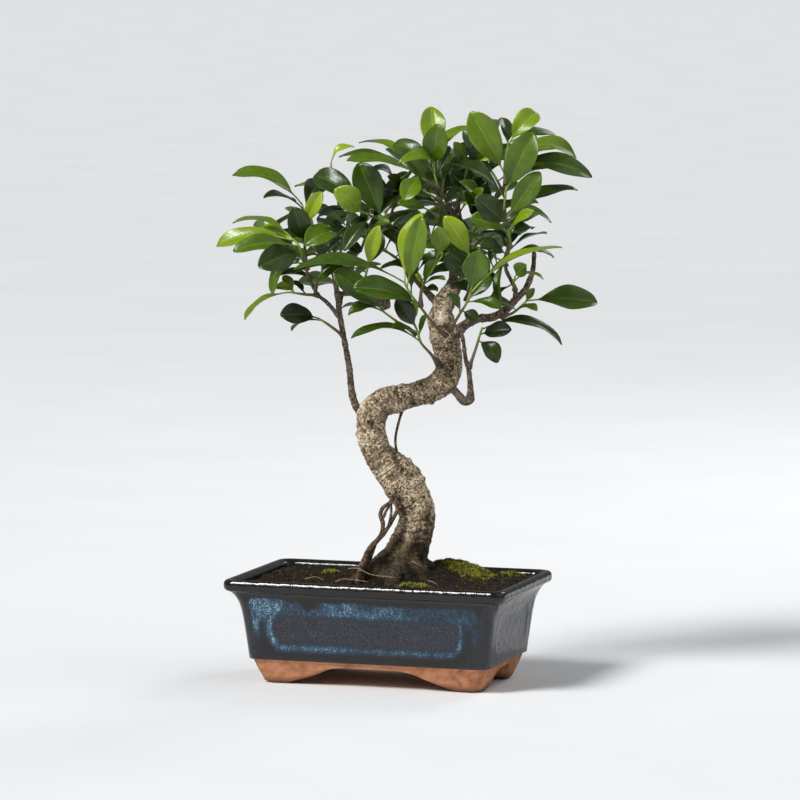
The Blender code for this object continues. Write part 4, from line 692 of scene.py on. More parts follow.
def rod(places, radii, columns, rough=0.0, ringed=0.0, seed=0, look=0):
    """A closed tube: rings round the path, each point moved out by noise along the bark."""
    ahead, side, up = carried(places)
    turn = np.linspace(0, 2 * math.pi, columns, endpoint=False)
    spoke = np.cos(turn)[None, :, None] * side[:, None] + np.sin(turn)[None, :, None] * up[:, None]
    run = np.concatenate([[0], np.cumsum(np.linalg.norm(np.diff(places, axis=0), axis=1))])
    bark = np.stack([radii[:, None] * np.cos(turn), radii[:, None] * np.sin(turn),
                     run[:, None] + 0 * turn], axis=-1)
    flat = bark.reshape(-1, 3)
    out = rough * (lumps(flat, 3.2 * MM, seed) + 0.6 * lumps(flat, 1.3 * MM, seed + 1))
    out += ringed * lumps(flat * (0.25, 0.25, 1.0), 0.9 * MM, seed + 2)
    out = out.reshape(len(radii), columns, 1)
    rings = places[:, None] + spoke * (radii[:, None, None] + out)
    # how deep each point lies in the relief, which the bark finish reads to paint shade into the hollows
    low = np.clip(0.5 - out.ravel() / (2.2 * (rough + ringed) + 1e-9), 0, 1)
    share = (run / run[-1])[:, None] + 0 * turn
    marks = {"bark": capped(bark), "cavity": np.append(low, [0.5, 0.5]),
             "run": np.append(share.ravel(), [0.0, 1.0])}
    return {"points": capped(rings), "faces": [(block, look) for block in skin(len(radii), columns)],
            "marks": marks}


# fine roots that lie on the soil: drawn u, v and depth, then radius in cm
FIBRES = [
    [(-2.9, 7.95, 3.0, 0.03), (-2.2, 7.95, 3.2, 0.035), (-1.2, 7.5, 3.4, 0.035), (0.5, 7.3, 3.4, 0.03)],
    [(-3.8, 7.0, 3.9, 0.03), (-3.2, 7.2, 4.1, 0.03), (-2.3, 7.1, 4.1, 0.03), (-1.5, 7.0, 4.2, 0.025)],
    [(1.6, 8.5, 2.6, 0.03), (2.0, 8.3, 2.7, 0.03), (2.4, 8.1, 2.7, 0.025)],
    [(2.8, 7.1, 3.8, 0.03), (3.2, 6.95, 4.0, 0.03), (3.5, 6.75, 4.0, 0.025)],
    [(-6.0, 7.2, 0.4, 0.025), (-5.2, 7.35, 0.8, 0.025), (-4.6, 7.1, 1.2, 0.02)],
    [(5.6, 7.2, -3.6, 0.025), (6.6, 7.4, -3.4, 0.025), (7.4, 7.15, -3.0, 0.02)],
]
fibres = [rod(*drawn_path(rows, 0.15), 6, seed=k, look=1) for k, rows in enumerate(FIBRES)]

# %% Soil finish
def dry_matter(name, low, middle, high, scale, roughness=0.95):
    """Crumbled matter: fully matt, three tones by noise and by each crumb's own chance value."""
    material, tree, shader = new_material(name)
    place = add(tree, "ShaderNodeTexCoord").outputs["Object"]
    shade = add(tree, "ShaderNodeAttribute", attribute_name="shade").outputs["Fac"]
    noise = add(tree, "ShaderNodeTexNoise", {"Vector": place, "Scale": scale, "Detail": 4.0,
                                             "Roughness": 0.7})
    total = add(tree, "ShaderNodeMath", {0: shade, 1: 0.35, 2: noise.outputs["Fac"]},
                operation="MULTIPLY_ADD")
    colour = add(tree, "ShaderNodeValToRGB", {0: total.outputs[0]},
                 stops=[(0.36, low), (0.58, middle), (0.9, high)])
    bump = add(tree, "ShaderNodeBump", {"Height": noise.outputs["Fac"], "Strength": 0.8, "Distance": 0.0015})
    tree.links.new(colour.outputs[0], shader.inputs["Base Color"])
    tree.links.new(bump.outputs[0], shader.inputs["Normal"])
    shader.inputs["Roughness"].default_value = roughness
    shader.inputs["Specular IOR Level"].default_value = 0.2
    return material


# black peat, sieved and watered: dark, broken by brown bark bits
peat = dry_matter("peat_potting_soil_loose", "#0C0906", "#20180F", "#4E3F28", 480.0)
straw = dry_matter("dry_root_fibre", "#8A7350", "#B59B73", "#D2BE98", 900.0, 0.8)
add_piece("soil_bed", joined([bed_shape, crumbs] + fibres), [peat, straw], ["soil"], "potting_soil")

# %% [markdown]
# ## Moss
#
# Moss cushions are thousands of upright tips a millimetre or two long.  Each patch is a low
# dome with a wavy edge, covered in one small four-sided spike that is repeated with its own lean.

# %% Moss cushions
MOSS = {
    # centre u and w in cm, half-length, half-width, turn in degrees, thickness in mm, spikes
    "moss_right": (5.4, -0.9, 2.3, 1.3, -35, 1.3, 3800),
    "moss_front": (1.7, 4.1, 1.15, 0.45, -6, 1.3, 900),
    "moss_left": (-4.2, -3.6, 0.6, 0.45, 20, 1.2, 260),
    "moss_back": (8.7, -1.5, 0.75, 0.5, 15, 1.6, 420),
}
SPIKE_POINTS = np.array([(1, 0, -1.2), (0, 1, -1.2), (-1, 0, -1.2), (0, -1, -1.2), (0, 0, 3.2)])
SPIKE_FACES = np.array([(0, 1, 4), (1, 2, 4), (2, 3, 4), (3, 0, 4), (0, 2, 1), (0, 3, 2)])


def moss_patch(u, w, half_length, half_width, turn, thickness, spikes):
    """A dome whose height falls off toward a wavy edge, and spikes spread evenly over its plan."""
    spin = math.radians(turn)

    def spread(share, angle):
        wavy = 1 + 0.10 * np.sin(3 * angle + u) + 0.06 * np.sin(5 * angle + w)
        along, across = half_length * wavy * np.cos(angle) * share, half_width * wavy * np.sin(angle) * share
        plan_u = along * math.cos(spin) - across * math.sin(spin)
        plan_w = -along * math.sin(spin) - across * math.cos(spin)
        place = turned((u + plan_u) * 10, (w + plan_w) * 10, 0 * angle)
        bump = 1.3 * lumps(place, 5.0, 6) + 0.6 * lumps(place, 1.8, 7)
        rise = thickness * np.clip(1 - share ** 2.6, -0.1, 1) + bump * np.clip(1 - 0.4 * share, 0.3, 1)
        ground = np.where(share > 1, crumbled(place), soil_height(place[:, 0], place[:, 1]))
        place[:, 2] = ground + rise - 0.9 * ((share > 0.98) & (share <= 1))
        return place

    angle = np.linspace(0, 2 * math.pi, 72, endpoint=False)
    shares = (1.0, 0.97, 0.9, 0.78, 0.64, 0.5, 0.36, 0.22, 0.08)
    rings = [spread(share + 0 * angle, angle) for share in shares]
    under = rings[0] * (1, 1, 0) + (0, 0, rings[0][:, 2].min() - 2.0)
    rings = np.array([under] + rings)
    dome = {"points": potted(capped(rings)), "faces": [(block, 0) for block in skin(*rings.shape[:2])],
            "marks": {}}
    reach = np.sqrt(CHANCE.uniform(size=spikes)) + np.maximum(CHANCE.normal(0, 0.22, spikes), 0)
    roots = spread(reach, CHANCE.uniform(0, 2 * math.pi, spikes))
    size = CHANCE.uniform(0.26, 0.62, spikes) * (1 - 0.3 * (reach > 1))
    lean = CHANCE.normal(0, 0.42, (spikes, 2))
    upright = SPIKE_POINTS[None] * size[:, None, None]
    upright[:, :, :2] += upright[:, :, 2:] * lean[:, None]
    steps = (np.arange(spikes) * 5)[:, None, None]
    # each spike is paler at its tip, partly as a painted highlight on the top of the cushion
    shade = np.repeat(CHANCE.uniform(-0.4, 0.6, spikes), 5) + np.tile([0, 0, 0, 0, 0.5], spikes)
    tips = {"points": potted((upright + roots[:, None]).reshape(-1, 3)),
            "faces": [((SPIKE_FACES[None] + steps).reshape(-1, 3), 0)], "marks": {"shade": shade}}
    return joined([dome, tips])


# cushion moss, growing and damp: matt yellow-green, almost black between the tips, partly as painted shade
moss_green = dry_matter("cushion_moss_growing", "#120F08", "#4A4A18", "#A3A23A", 190.0)
for name, patch in MOSS.items():
    add_piece(name + "_cushion", moss_patch(*patch), [moss_green], [name], "moss")
print("moss patches", len(MOSS))

# %% [markdown]
# ## Netting under the soil
#
# The two squares of plastic netting keep the soil from falling through the holes.  Their frame
# shapes are right as they are, so they only get a finish.

# %% Netting finish
def moulded_netting():
    """Polyethylene netting, extruded: dull black, slightly waxy, with faint mould marks."""
    material, tree, shader = new_material("polyethylene_netting_extruded")
    place = add(tree, "ShaderNodeTexCoord").outputs["Object"]
    noise = add(tree, "ShaderNodeTexNoise", {"Vector": place, "Scale": 500.0, "Detail": 2.0})
    colour = add(tree, "ShaderNodeValToRGB", {0: noise.outputs["Fac"]},
                 stops=[(0.3, "#141414"), (0.7, "#242424")])
    tree.links.new(colour.outputs[0], shader.inputs["Base Color"])
    shader.inputs["Roughness"].default_value = 0.55
    return material


netting = moulded_netting()
for name in ("drain_mesh_left", "drain_mesh_right"):
    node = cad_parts[name]
    node.data.materials.clear()
    node.data.materials.append(netting)

# %% [markdown]
# ## The trunk
#
# The trunk of this fig was bent into an S while it was young, and thickened there.  It is one
# mass with its surface roots and knots, so the rods are merged: a Remesh modifier turns the
# overlapping tubes into a single skin of even squares, a Smooth modifier softens the joints, and
# the bark's relief is then added as noise along the normals.

# %% Path of the trunk
TRUNK = [
    # u, v, w, radius in cm, from inside the root ball up the S to the cut top
    (0.7, 5.6, 0.0, 2.30), (0.75, 6.6, 0.0, 2.55), (0.75, 7.5, 0.0, 2.40), (1.05, 8.4, 0.0, 1.82),
    (1.4, 9.4, 0.1, 1.52), (1.75, 10.4, 0.2, 1.38), (2.0, 11.4, 0.3, 1.31),
    (1.85, 12.5, 0.3, 1.27), (1.35, 13.5, 0.1, 1.37), (0.8, 14.4, -0.1, 1.42),
    (0.0, 15.3, -0.2, 1.24), (-0.75, 16.2, 0.0, 1.06), (-1.15, 17.2, 0.2, 1.02),
    (-1.25, 18.2, 0.3, 1.02), (-1.1, 19.15, 0.2, 1.06), (-0.4, 19.85, 0.1, 1.02),
    (0.8, 20.15, 0.0, 0.95), (2.1, 20.5, 0.0, 0.88), (3.25, 20.9, 0.1, 0.95),
    (4.05, 21.6, 0.2, 1.02), (4.3, 22.6, 0.1, 0.95), (4.15, 23.6, 0.0, 1.00),
    (3.95, 24.7, 0.0, 1.08), (3.7, 25.8, 0.0, 0.92), (3.75, 26.8, -0.1, 0.66),
    (4.2, 27.7, -0.2, 0.52), (4.6, 28.2, -0.3, 0.40),
]
# the swelling of the bend, which hangs over the neck below it
LOBE = [(0.15, 15.0, 0.2, 0.95), (0.55, 14.2, 0.45, 0.98), (0.85, 13.5, 0.6, 0.85), (1.1, 13.0, 0.6, 0.6)]
SURFACE_ROOTS = [
    [(0.2, 8.4, 0.6, 0.75), (-1.2, 7.7, 1.3, 0.62), (-2.6, 6.9, 1.6, 0.40), (-3.6, 6.2, 1.5, 0.22)],
    [(0.9, 8.2, 1.0, 0.80), (0.4, 7.3, 2.2, 0.62), (-0.2, 6.5, 3.2, 0.35)],
    [(1.4, 8.4, 0.8, 0.70), (2.4, 7.5, 1.7, 0.55), (3.0, 6.5, 2.6, 0.30)],
    [(1.6, 8.6, -0.2, 0.70), (3.0, 7.9, -0.6, 0.50), (4.3, 6.9, -0.9, 0.28)],
    [(0.6, 8.4, -0.8, 0.75), (0.2, 7.6, -2.2, 0.60), (0.0, 6.6, -3.3, 0.32)],
]

# %% Knots and scars
# u, v, w and size in cm, how far it stands out in mm, and how pale (+1) or dark (-1) it is
KNOTS = [
    (-1.45, 18.5, 1.25, 0.22, 0.7, -0.5), (-2.35, 17.6, 0.2, 0.20, 1.5, -0.2),
    (1.35, 15.65, -0.1, 0.25, 1.1, 0.2), (2.0, 15.0, 0.2, 0.20, 1.5, -0.6),
    (2.35, 14.35, 0.2, 0.22, 1.6, -0.2), (0.75, 13.35, 1.35, 0.32, 0.8, -0.9),
    (3.2, 11.8, 0.3, 0.25, 1.0, -0.3), (4.4, 22.3, 1.15, 0.24, 0.5, -1.0),
    (4.75, 21.6, 0.9, 0.24, 0.9, 0.4), (3.1, 19.75, 0.1, 0.20, 1.3, -0.3),
    (0.95, 21.15, 0.1, 0.22, 1.0, 0.0), (0.7, 12.75, 1.3, 0.28, -1.2, -1.0),
    (0.35, 12.75, 1.25, 0.22, -0.9, -1.0), (3.65, 26.15, 0.95, 0.34, -0.5, 1.0),
    (3.65, 25.7, 1.0, 0.30, -0.3, 1.0), (0.3, 19.1, 1.0, 0.25, 0.6, 0.1),
    (-0.6, 16.6, 1.1, 0.18, 0.6, 0.2), (1.9, 13.0, 1.4, 0.22, 0.7, 0.3),
    (0.2, 15.0, 1.3, 0.30, 0.9, 0.3), (2.6, 10.4, 1.2, 0.28, 0.8, -0.3),
    (-0.4, 8.2, 2.4, 0.32, 1.2, 0.2), (3.4, 23.9, 0.9, 0.20, 0.6, 0.0),
    (4.6, 24.9, 0.6, 0.24, 0.9, 0.1), (0.0, 20.9, 0.4, 0.2, 0.8, -0.2),
]


def gathered(item, modifiers):
    """Points and four-cornered faces of an object after its modifiers."""
    for kind, settings in modifiers:
        step = item.modifiers.new(kind.lower(), kind)
        for key, value in settings.items():
            setattr(step, key, value)
    seen = item.evaluated_get(bpy.context.evaluated_depsgraph_get()).to_mesh()
    points = np.empty(len(seen.vertices) * 3, dtype=np.float32)
    seen.vertices.foreach_get("co", points)
    corners = np.empty(len(seen.loops), dtype=np.int32)
    seen.loops.foreach_get("vertex_index", corners)
    return points.reshape(-1, 3).astype(float), corners.reshape(-1, 4)


def normals_of(points, quads):
    """Unit normal per point: the sum of its faces' crossed diagonals."""
    face = np.cross(points[quads[:, 2]] - points[quads[:, 0]], points[quads[:, 3]] - points[quads[:, 1]])
    total = np.zeros_like(points)
    for k in range(4):
        np.add.at(total, quads[:, k], face)
    return total / np.linalg.norm(total, axis=1)[:, None]


def nearest_on(path, points):
    """For each point, the number of the closest point of a path."""
    best = np.zeros(len(points), dtype=int)
    for start in range(0, len(points), 20000):
        part = points[start:start + 20000]
        away = ((part[:, None] - path[None]) ** 2).sum(axis=2)
        best[start:start + 20000] = away.argmin(axis=1)
    return best


def trunk_skin():
    """The merged trunk with knots, rings and lumps, and the marks that its finish reads."""
    rods = [rod(*drawn_path(TRUNK, 0.25), 40), rod(*drawn_path(LOBE, 0.2), 30)]
    rods += [rod(*drawn_path(root, 0.25), 24) for root in SURFACE_ROOTS]
    rough = add_piece("rough_trunk", joined(rods), [])
    points, quads = gathered(rough, [("REMESH", {"mode": "VOXEL", "voxel_size": 0.65 * MM}),
                                     ("SMOOTH", {"factor": 0.6, "iterations": 14})])
    bpy.data.objects.remove(rough, do_unlink=True)
    normals = normals_of(points, quads)
    path, radii = drawn_path(TRUNK, 0.08)
    ahead, side, up = carried(path)
    near = nearest_on(path, points)
    run = np.concatenate([[0], np.cumsum(np.linalg.norm(np.diff(path, axis=0), axis=1))])
    spoke = points - path[near]
    bark = np.stack([(spoke * side[near]).sum(axis=1), (spoke * up[near]).sum(axis=1),
                     run[near] + (spoke * ahead[near]).sum(axis=1)], axis=1)
    tone = np.zeros(len(points))
    out = np.zeros(len(points))
    for u, v, w, size, lift, pale in KNOTS:
        away = np.linalg.norm(points - at(np.float64(u), v, w), axis=1) / (size * CM)
        bulge = np.exp(-away ** 2)
        lip = 0.45 * np.exp(-((away - 1.15) / 0.35) ** 2)
        out += 1.5 * lift * MM * (bulge + lip * (abs(pale) > 0.4)) * (1 + (abs(pale) > 0.4) * -0.5 * bulge)
        tone += pale * bulge
    height = (points[:, 2] - POT_CENTRE[2]) / CM
    coarse = lumps(bark, 7.0 * MM, 21)
    ringing = lumps(bark * (0.22, 0.22, 1.0), 1.5 * MM, 22)
    scaly = lumps(bark * (0.8, 0.8, 1.2), 2.4 * MM, 23)
    fine = lumps(points, 1.2 * MM, 24)
    ridged = eased(23.2, 24.2, height) * eased(26.0, 25.2, height)
    foot = eased(11.6, 9.4, height)
    folds = lumps(bark * (1.0, 1.0, 0.15), 3.6 * MM, 25)
    relief_here = (0.95 * coarse + (0.30 + 0.34 * ridged) * ringing + 0.50 * scaly + 0.24 * fine
                   + 0.7 * foot * folds)
    # how deep each point lies in the bark's relief, which the finish reads to paint shade into the hollows
    cavity = np.clip(0.5 - 0.55 * (relief_here - 0.4 * coarse), 0, 1)
    marks = {"bark": bark, "cavity": cavity, "tone": tone, "damp": foot, "ridged": ridged}
    return {"points": points + normals * (out + relief_here * MM)[:, None], "faces": [(quads, 0)],
            "marks": marks}


# %% [markdown]
# ## Bark
#
# Fig bark is smooth but never plain: a grey-tan skin with pale lenticels and dark specks a
# millimetre or so across, faint rings across the stem, and a darker damp foot with some algae.
# The patterns are sampled in the unrolled bark coordinates, squeezed along the stem, so the
# specks lie across it as they do on a living trunk.

# %% Bark finishes
def bark_finish(name, dark, middle, pale, speck=1.0, roughness=0.88):
    """Living bark: matt, three tones by noise, pores across the stem, and painted shade in the hollows."""
    material, tree, shader = new_material(name)
    bark = add(tree, "ShaderNodeAttribute", attribute_name="bark").outputs["Vector"]
    cavity = add(tree, "ShaderNodeAttribute", attribute_name="cavity").outputs["Fac"]
    damp = add(tree, "ShaderNodeAttribute", attribute_name="damp").outputs["Fac"]
    tone = add(tree, "ShaderNodeAttribute", attribute_name="tone").outputs["Fac"]
    # pores and flakes 2.3 mm wide and 1.4 mm high, patches about 12 mm across
    across = add(tree, "ShaderNodeMapping", {"Vector": bark, "Scale": (1.0, 1.0, 1.7)})
    flake = add(tree, "ShaderNodeTexNoise", {"Vector": across.outputs[0], "Scale": 430.0, "Detail": 5.0,
                                             "Roughness": 0.66})
    patch = add(tree, "ShaderNodeTexNoise", {"Vector": bark, "Scale": 85.0, "Detail": 3.0})
    rings = add(tree, "ShaderNodeMapping", {"Vector": bark, "Scale": (0.18, 0.18, 1.0)})
    ring = add(tree, "ShaderNodeTexNoise", {"Vector": rings.outputs[0], "Scale": 900.0, "Detail": 2.0})
    mixed = add(tree, "ShaderNodeMath", {0: flake.outputs["Fac"], 1: 0.62, 2: -0.02},
                operation="MULTIPLY_ADD")
    mixed = add(tree, "ShaderNodeMath", {0: patch.outputs["Fac"], 1: 0.28, 2: mixed.outputs[0]},
                operation="MULTIPLY_ADD")
    mixed = add(tree, "ShaderNodeMath", {0: ring.outputs["Fac"], 1: 0.16, 2: mixed.outputs[0]},
                operation="MULTIPLY_ADD")
    mixed = add(tree, "ShaderNodeMath", {0: tone, 1: 0.16, 2: mixed.outputs[0]}, operation="MULTIPLY_ADD")
    colour = add(tree, "ShaderNodeValToRGB", {0: mixed.outputs[0]},
                 stops=[(0.40, dark), (0.51, middle), (0.66, pale)])
    # painted shade: hollows in the relief are darkened to about a quarter, and crests are lightened a little
    hollow_shade_factor = add(tree, "ShaderNodeMapRange", {0: cavity, 1: 0.42, 2: 0.9, 3: 1.08, 4: 0.26})
    shaded = add(tree, "ShaderNodeMix", {0: 1.0, 6: colour.outputs[0], 7: hollow_shade_factor.outputs[0]},
                 data_type="RGBA", blend_type="MULTIPLY")
    speckle = add(tree, "ShaderNodeTexNoise", {"Vector": bark, "Scale": 760.0, "Detail": 3.0})
    specks = add(tree, "ShaderNodeMapRange", {0: speckle.outputs["Fac"], 1: 0.36, 2: 0.46,
                                              3: 1 - 0.55 * speck, 4: 1.0})
    specked = add(tree, "ShaderNodeMix", {0: 1.0, 6: shaded.outputs[2], 7: specks.outputs[0]},
                  data_type="RGBA", blend_type="MULTIPLY")
    # corky flecks, paler than the bark, stand on the crests
    crest = add(tree, "ShaderNodeMapRange", {0: cavity, 1: 0.3, 2: 0.65, 3: 0.75, 4: 0.1})
    flecks = add(tree, "ShaderNodeMapRange", {0: speckle.outputs["Fac"], 1: 0.52, 2: 0.58, 3: 0.0, 4: 1.0})
    flecks = add(tree, "ShaderNodeMath", {0: flecks.outputs[0], 1: crest.outputs[0]}, operation="MULTIPLY")
    specked = add(tree, "ShaderNodeMix", {0: flecks.outputs[0], 6: specked.outputs[2], 7: linear(pale)},
                  data_type="RGBA")
    algae = add(tree, "ShaderNodeValToRGB", {0: patch.outputs["Fac"]},
                stops=[(0.38, "#150F0A"), (0.54, "#2E2416"), (0.72, "#5E5330")])
    wet = add(tree, "ShaderNodeMath", {0: damp, 1: 0.9}, operation="MULTIPLY", use_clamp=True)
    whole = add(tree, "ShaderNodeMix", {0: wet.outputs[0], 6: specked.outputs[2], 7: algae.outputs[0]},
                data_type="RGBA")
    bump = add(tree, "ShaderNodeBump", {"Height": flake.outputs["Fac"], "Strength": 0.9, "Distance": 0.0016})
    tree.links.new(whole.outputs[2], shader.inputs["Base Color"])
    tree.links.new(bump.outputs[0], shader.inputs["Normal"])
    shader.inputs["Roughness"].default_value = roughness
    shader.inputs["Specular IOR Level"].default_value = 0.25
    return material


fig_bark = bark_finish("fig_bark_living", "#3F3021", "#8E7858", "#E6D8BF")
branch_bark = bark_finish("fig_branch_bark_living", "#33281F", "#6E5F50", "#A0917F", 0.8)
root_bark = bark_finish("fig_aerial_root_bark", "#2A1E14", "#5C4A38", "#8C7861", 0.8)

trunk_shape = trunk_skin()
add_piece("fig_trunk", trunk_shape, [fig_bark], ["trunk"], "fig_bark")
print("trunk points", len(trunk_shape["points"]))

# %% [markdown]
# ## Roots in the air and branches
#
# The fig lets down thin roots from its bends, and its branches leave the trunk from swollen
# collars.  Each is a rod with its own bark relief.  The collar is a wider start of the rod that
# eases down to the drawn thickness over a few millimetres.

# %% Roots and branches
AERIAL_ROOTS = [
    [(0.35, 13.2, 1.0, 0.12), (0.08, 12.7, 1.35, 0.13), (-0.42, 12.3, 1.5, 0.14), (-0.59, 11.8, 1.6, 0.15),
     (-0.42, 11.2, 1.7, 0.15), (-0.49, 10.5, 1.8, 0.16), (-0.81, 10.0, 1.9, 0.17), (-1.34, 9.4, 2.0, 0.20),
     (-1.75, 8.5, 2.25, 0.22), (-2.1, 7.6, 2.4, 0.20), (-2.3, 6.3, 2.5, 0.15)],
    [(0.55, 13.2, 1.2, 0.11), (0.50, 12.7, 1.55, 0.12), (0.61, 12.2, 1.75, 0.13), (0.35, 11.6, 1.85, 0.14),
     (0.04, 11.05, 1.9, 0.14), (-0.45, 10.35, 2.0, 0.16), (-0.98, 9.8, 2.05, 0.18), (-1.42, 9.2, 2.1, 0.17)],
    [(0.30, 13.0, 1.2, 0.10), (0.15, 12.6, 1.5, 0.10), (-0.18, 12.1, 1.65, 0.10), (-0.38, 11.6, 1.7, 0.11)],
    [(0.25, 13.0, 1.3, 0.08), (0.17, 12.5, 1.7, 0.09), (0.17, 11.9, 1.85, 0.09), (0.0, 11.1, 1.95, 0.09)],
    [(-0.9, 10.0, 1.6, 0.14), (-1.25, 9.1, 1.7, 0.20), (-1.6, 8.2, 1.8, 0.22), (-2.0, 7.0, 1.9, 0.20)],
]
HANGING_ROOT = [(1.05, 19.6, 0.0, 0.10), (0.75, 18.6, 0.0, 0.09), (0.5, 17.5, 0.0, 0.09),
                (0.5, 16.7, -0.05, 0.09), (0.65, 16.1, -0.1, 0.1), (0.8, 15.5, -0.15, 0.1)]

# each branch: u, v, w, radius in cm from inside its carrier outward
BRANCHES = {
    "left_branch": [
        (-1.3, 18.7, -0.2, 0.33), (-2.0, 19.1, -0.1, 0.29), (-2.45, 19.9, -0.1, 0.26),
        (-2.65, 20.8, 0.0, 0.24), (-2.8, 22.3, 0.1, 0.22), (-3.15, 24.3, 0.2, 0.20),
        (-3.45, 26.0, 0.1, 0.19), (-3.65, 27.6, 0.0, 0.19), (-3.95, 29.3, -0.1, 0.17)],
    "left_fork": [
        (-3.45, 25.9, 0.1, 0.15), (-4.35, 26.95, 0.5, 0.14), (-5.0, 27.5, 0.8, 0.13),
        (-5.4, 28.2, 1.1, 0.12), (-5.85, 29.1, 1.4, 0.11)],
    "knob_branch": [
        (-3.6, 27.6, 0.0, 0.14), (-2.8, 27.6, -0.1, 0.15), (-2.0, 27.65, -0.3, 0.16),
        (-1.0, 27.6, -0.5, 0.20), (-0.55, 27.4, -0.6, 0.42), (-0.3, 26.9, -0.6, 0.45),
        (-0.15, 26.5, -0.6, 0.25)],
    "right_bough": [
        (4.2, 24.1, 0.1, 0.46), (4.75, 24.7, 0.2, 0.42), (5.3, 25.3, 0.3, 0.36),
        (6.2, 25.8, 0.5, 0.32), (7.4, 25.95, 0.6, 0.29), (8.3, 26.45, 0.6, 0.28),
        (9.0, 27.2, 0.5, 0.26), (9.6, 27.8, 0.3, 0.22), (10.0, 28.6, 0.2, 0.20),
        (10.25, 29.5, 0.0, 0.17), (10.3, 30.6, -0.1, 0.15)],
    "right_fork": [
        (9.0, 27.1, 0.5, 0.17), (8.95, 28.0, 0.6, 0.15), (8.6, 28.7, 0.8, 0.14),
        (8.3, 29.4, 1.0, 0.13), (8.35, 30.2, 1.2, 0.12)],
    "loop_root": [
        (4.2, 21.2, 0.4, 0.32), (4.85, 20.5, 0.7, 0.28), (5.35, 19.95, 1.0, 0.30),
        (5.75, 20.1, 1.1, 0.34), (5.8, 20.8, 1.1, 0.22), (5.7, 22.0, 1.1, 0.18),
        (5.45, 23.0, 1.1, 0.16), (5.3, 24.2, 0.9, 0.14), (5.1, 25.0, 0.5, 0.13)],
    "leader": [
        (4.5, 28.0, -0.3, 0.38), (4.6, 28.9, -0.6, 0.32), (4.5, 30.4, -0.9, 0.26),
        (4.7, 32.0, -1.0, 0.23), (4.7, 33.3, -0.8, 0.20)],
    "crown_left_branch": [
        (3.8, 26.4, -0.2, 0.28), (3.0, 27.4, -0.9, 0.25), (2.2, 28.3, -1.4, 0.22),
        (1.1, 29.8, -0.9, 0.19), (0.6, 31.2, -0.1, 0.16), (0.3, 32.2, 0.6, 0.13)],
    "back_bough": [
        (3.9, 25.4, -0.2, 0.36), (4.2, 26.4, -1.5, 0.33), (4.6, 27.3, -2.6, 0.28),
        (5.2, 28.8, -4.2, 0.22), (5.4, 30.6, -5.2, 0.17), (5.2, 32.4, -5.8, 0.13)],
}


def limb(rows, seed, rough=0.16, ringed=0.08, collar=0.35, columns=20):
    """A rod along drawn rows with a swollen start and small nodes every 9 mm."""
    places, radii = drawn_path(rows, 0.07)
    run = np.concatenate([[0], np.cumsum(np.linalg.norm(np.diff(places, axis=0), axis=1))])
    node = 0.10 * np.exp(-((run % (9 * MM) - 4.5 * MM) / (0.9 * MM)) ** 2)
    radii = radii * (1 + collar * np.exp(-(run / (5 * MM)) ** 2) + node)
    return rod(places, radii, columns, rough * MM, ringed * MM, seed)


aerial = joined([limb(rows, 30 + k, 0.12, 0.05, 0.0, 14) for k, rows in enumerate(AERIAL_ROOTS)])
add_piece("aerial_root_strands", aerial, [root_bark], ["aerial_roots"], "root_bark")
add_piece("hanging_root_strand", limb(HANGING_ROOT, 35, 0.08, 0.04, 0.4, 12), [root_bark],
          ["hanging_root"], "root_bark")
for number, (name, rows) in enumerate(BRANCHES.items()):
    thick = rows[0][3] > 0.3
    shape = limb(rows, 40 + number, 0.22 if thick else 0.14, 0.14 if thick else 0.08)
    add_piece(name + "_wood", shape, [branch_bark], [name], "twig_bark")
print("branches", len(BRANCHES))

# %% [markdown]
# ## A fig leaf
#
# The leaf is thick and leathery: an ellipse about 40 mm long, folded a little along its sunken
# midrib, arched lengthwise, with a short drip tip and a round stalk.  The whole leaf is one
# closed tube.  Its rings are round at the stalk and open out into a thin flat lens, so the
# stalk, both sides of the blade and its edge are one surface with no seam.

# %% Blade
PETIOLE_SHARE = 0.16             # of the length from twig to tip
PETIOLE_RADIUS = 0.55 * MM
BLADE_THICKNESS = 0.5 * MM
LEAF_FOLD = math.radians(21)
LEAF_ROWS = 26
LEAF_COLUMNS = 20


def leaf_frame(start, tip, face):
    """Unit vectors along a leaf, out of its upper side and across it."""
    along = tip - start
    length = np.linalg.norm(along)
    along = along / length
    toward = TO_EYE - along * np.dot(TO_EYE, along)
    toward /= max(np.linalg.norm(toward), 1e-6)
    skyward = np.cross(along, toward)
    if skyward[2] < 0:
        skyward = -skyward
    angle = math.radians(face)
    out = toward * math.cos(angle) + skyward * math.sin(angle)
    return along, out, np.cross(along, out), length


def blade_width(share):
    """Half-width of an elliptic blade, widest past the middle, against the share of its length."""
    blade = np.clip((share - PETIOLE_SHARE) / (1 - PETIOLE_SHARE), 0, 1)
    drip = 1 - 0.38 * np.exp(-((blade - 0.97) / 0.03) ** 2)
    return np.sin(math.pi * blade ** 1.3) ** 0.66 * (0.98 - 0.02 * blade) * drip


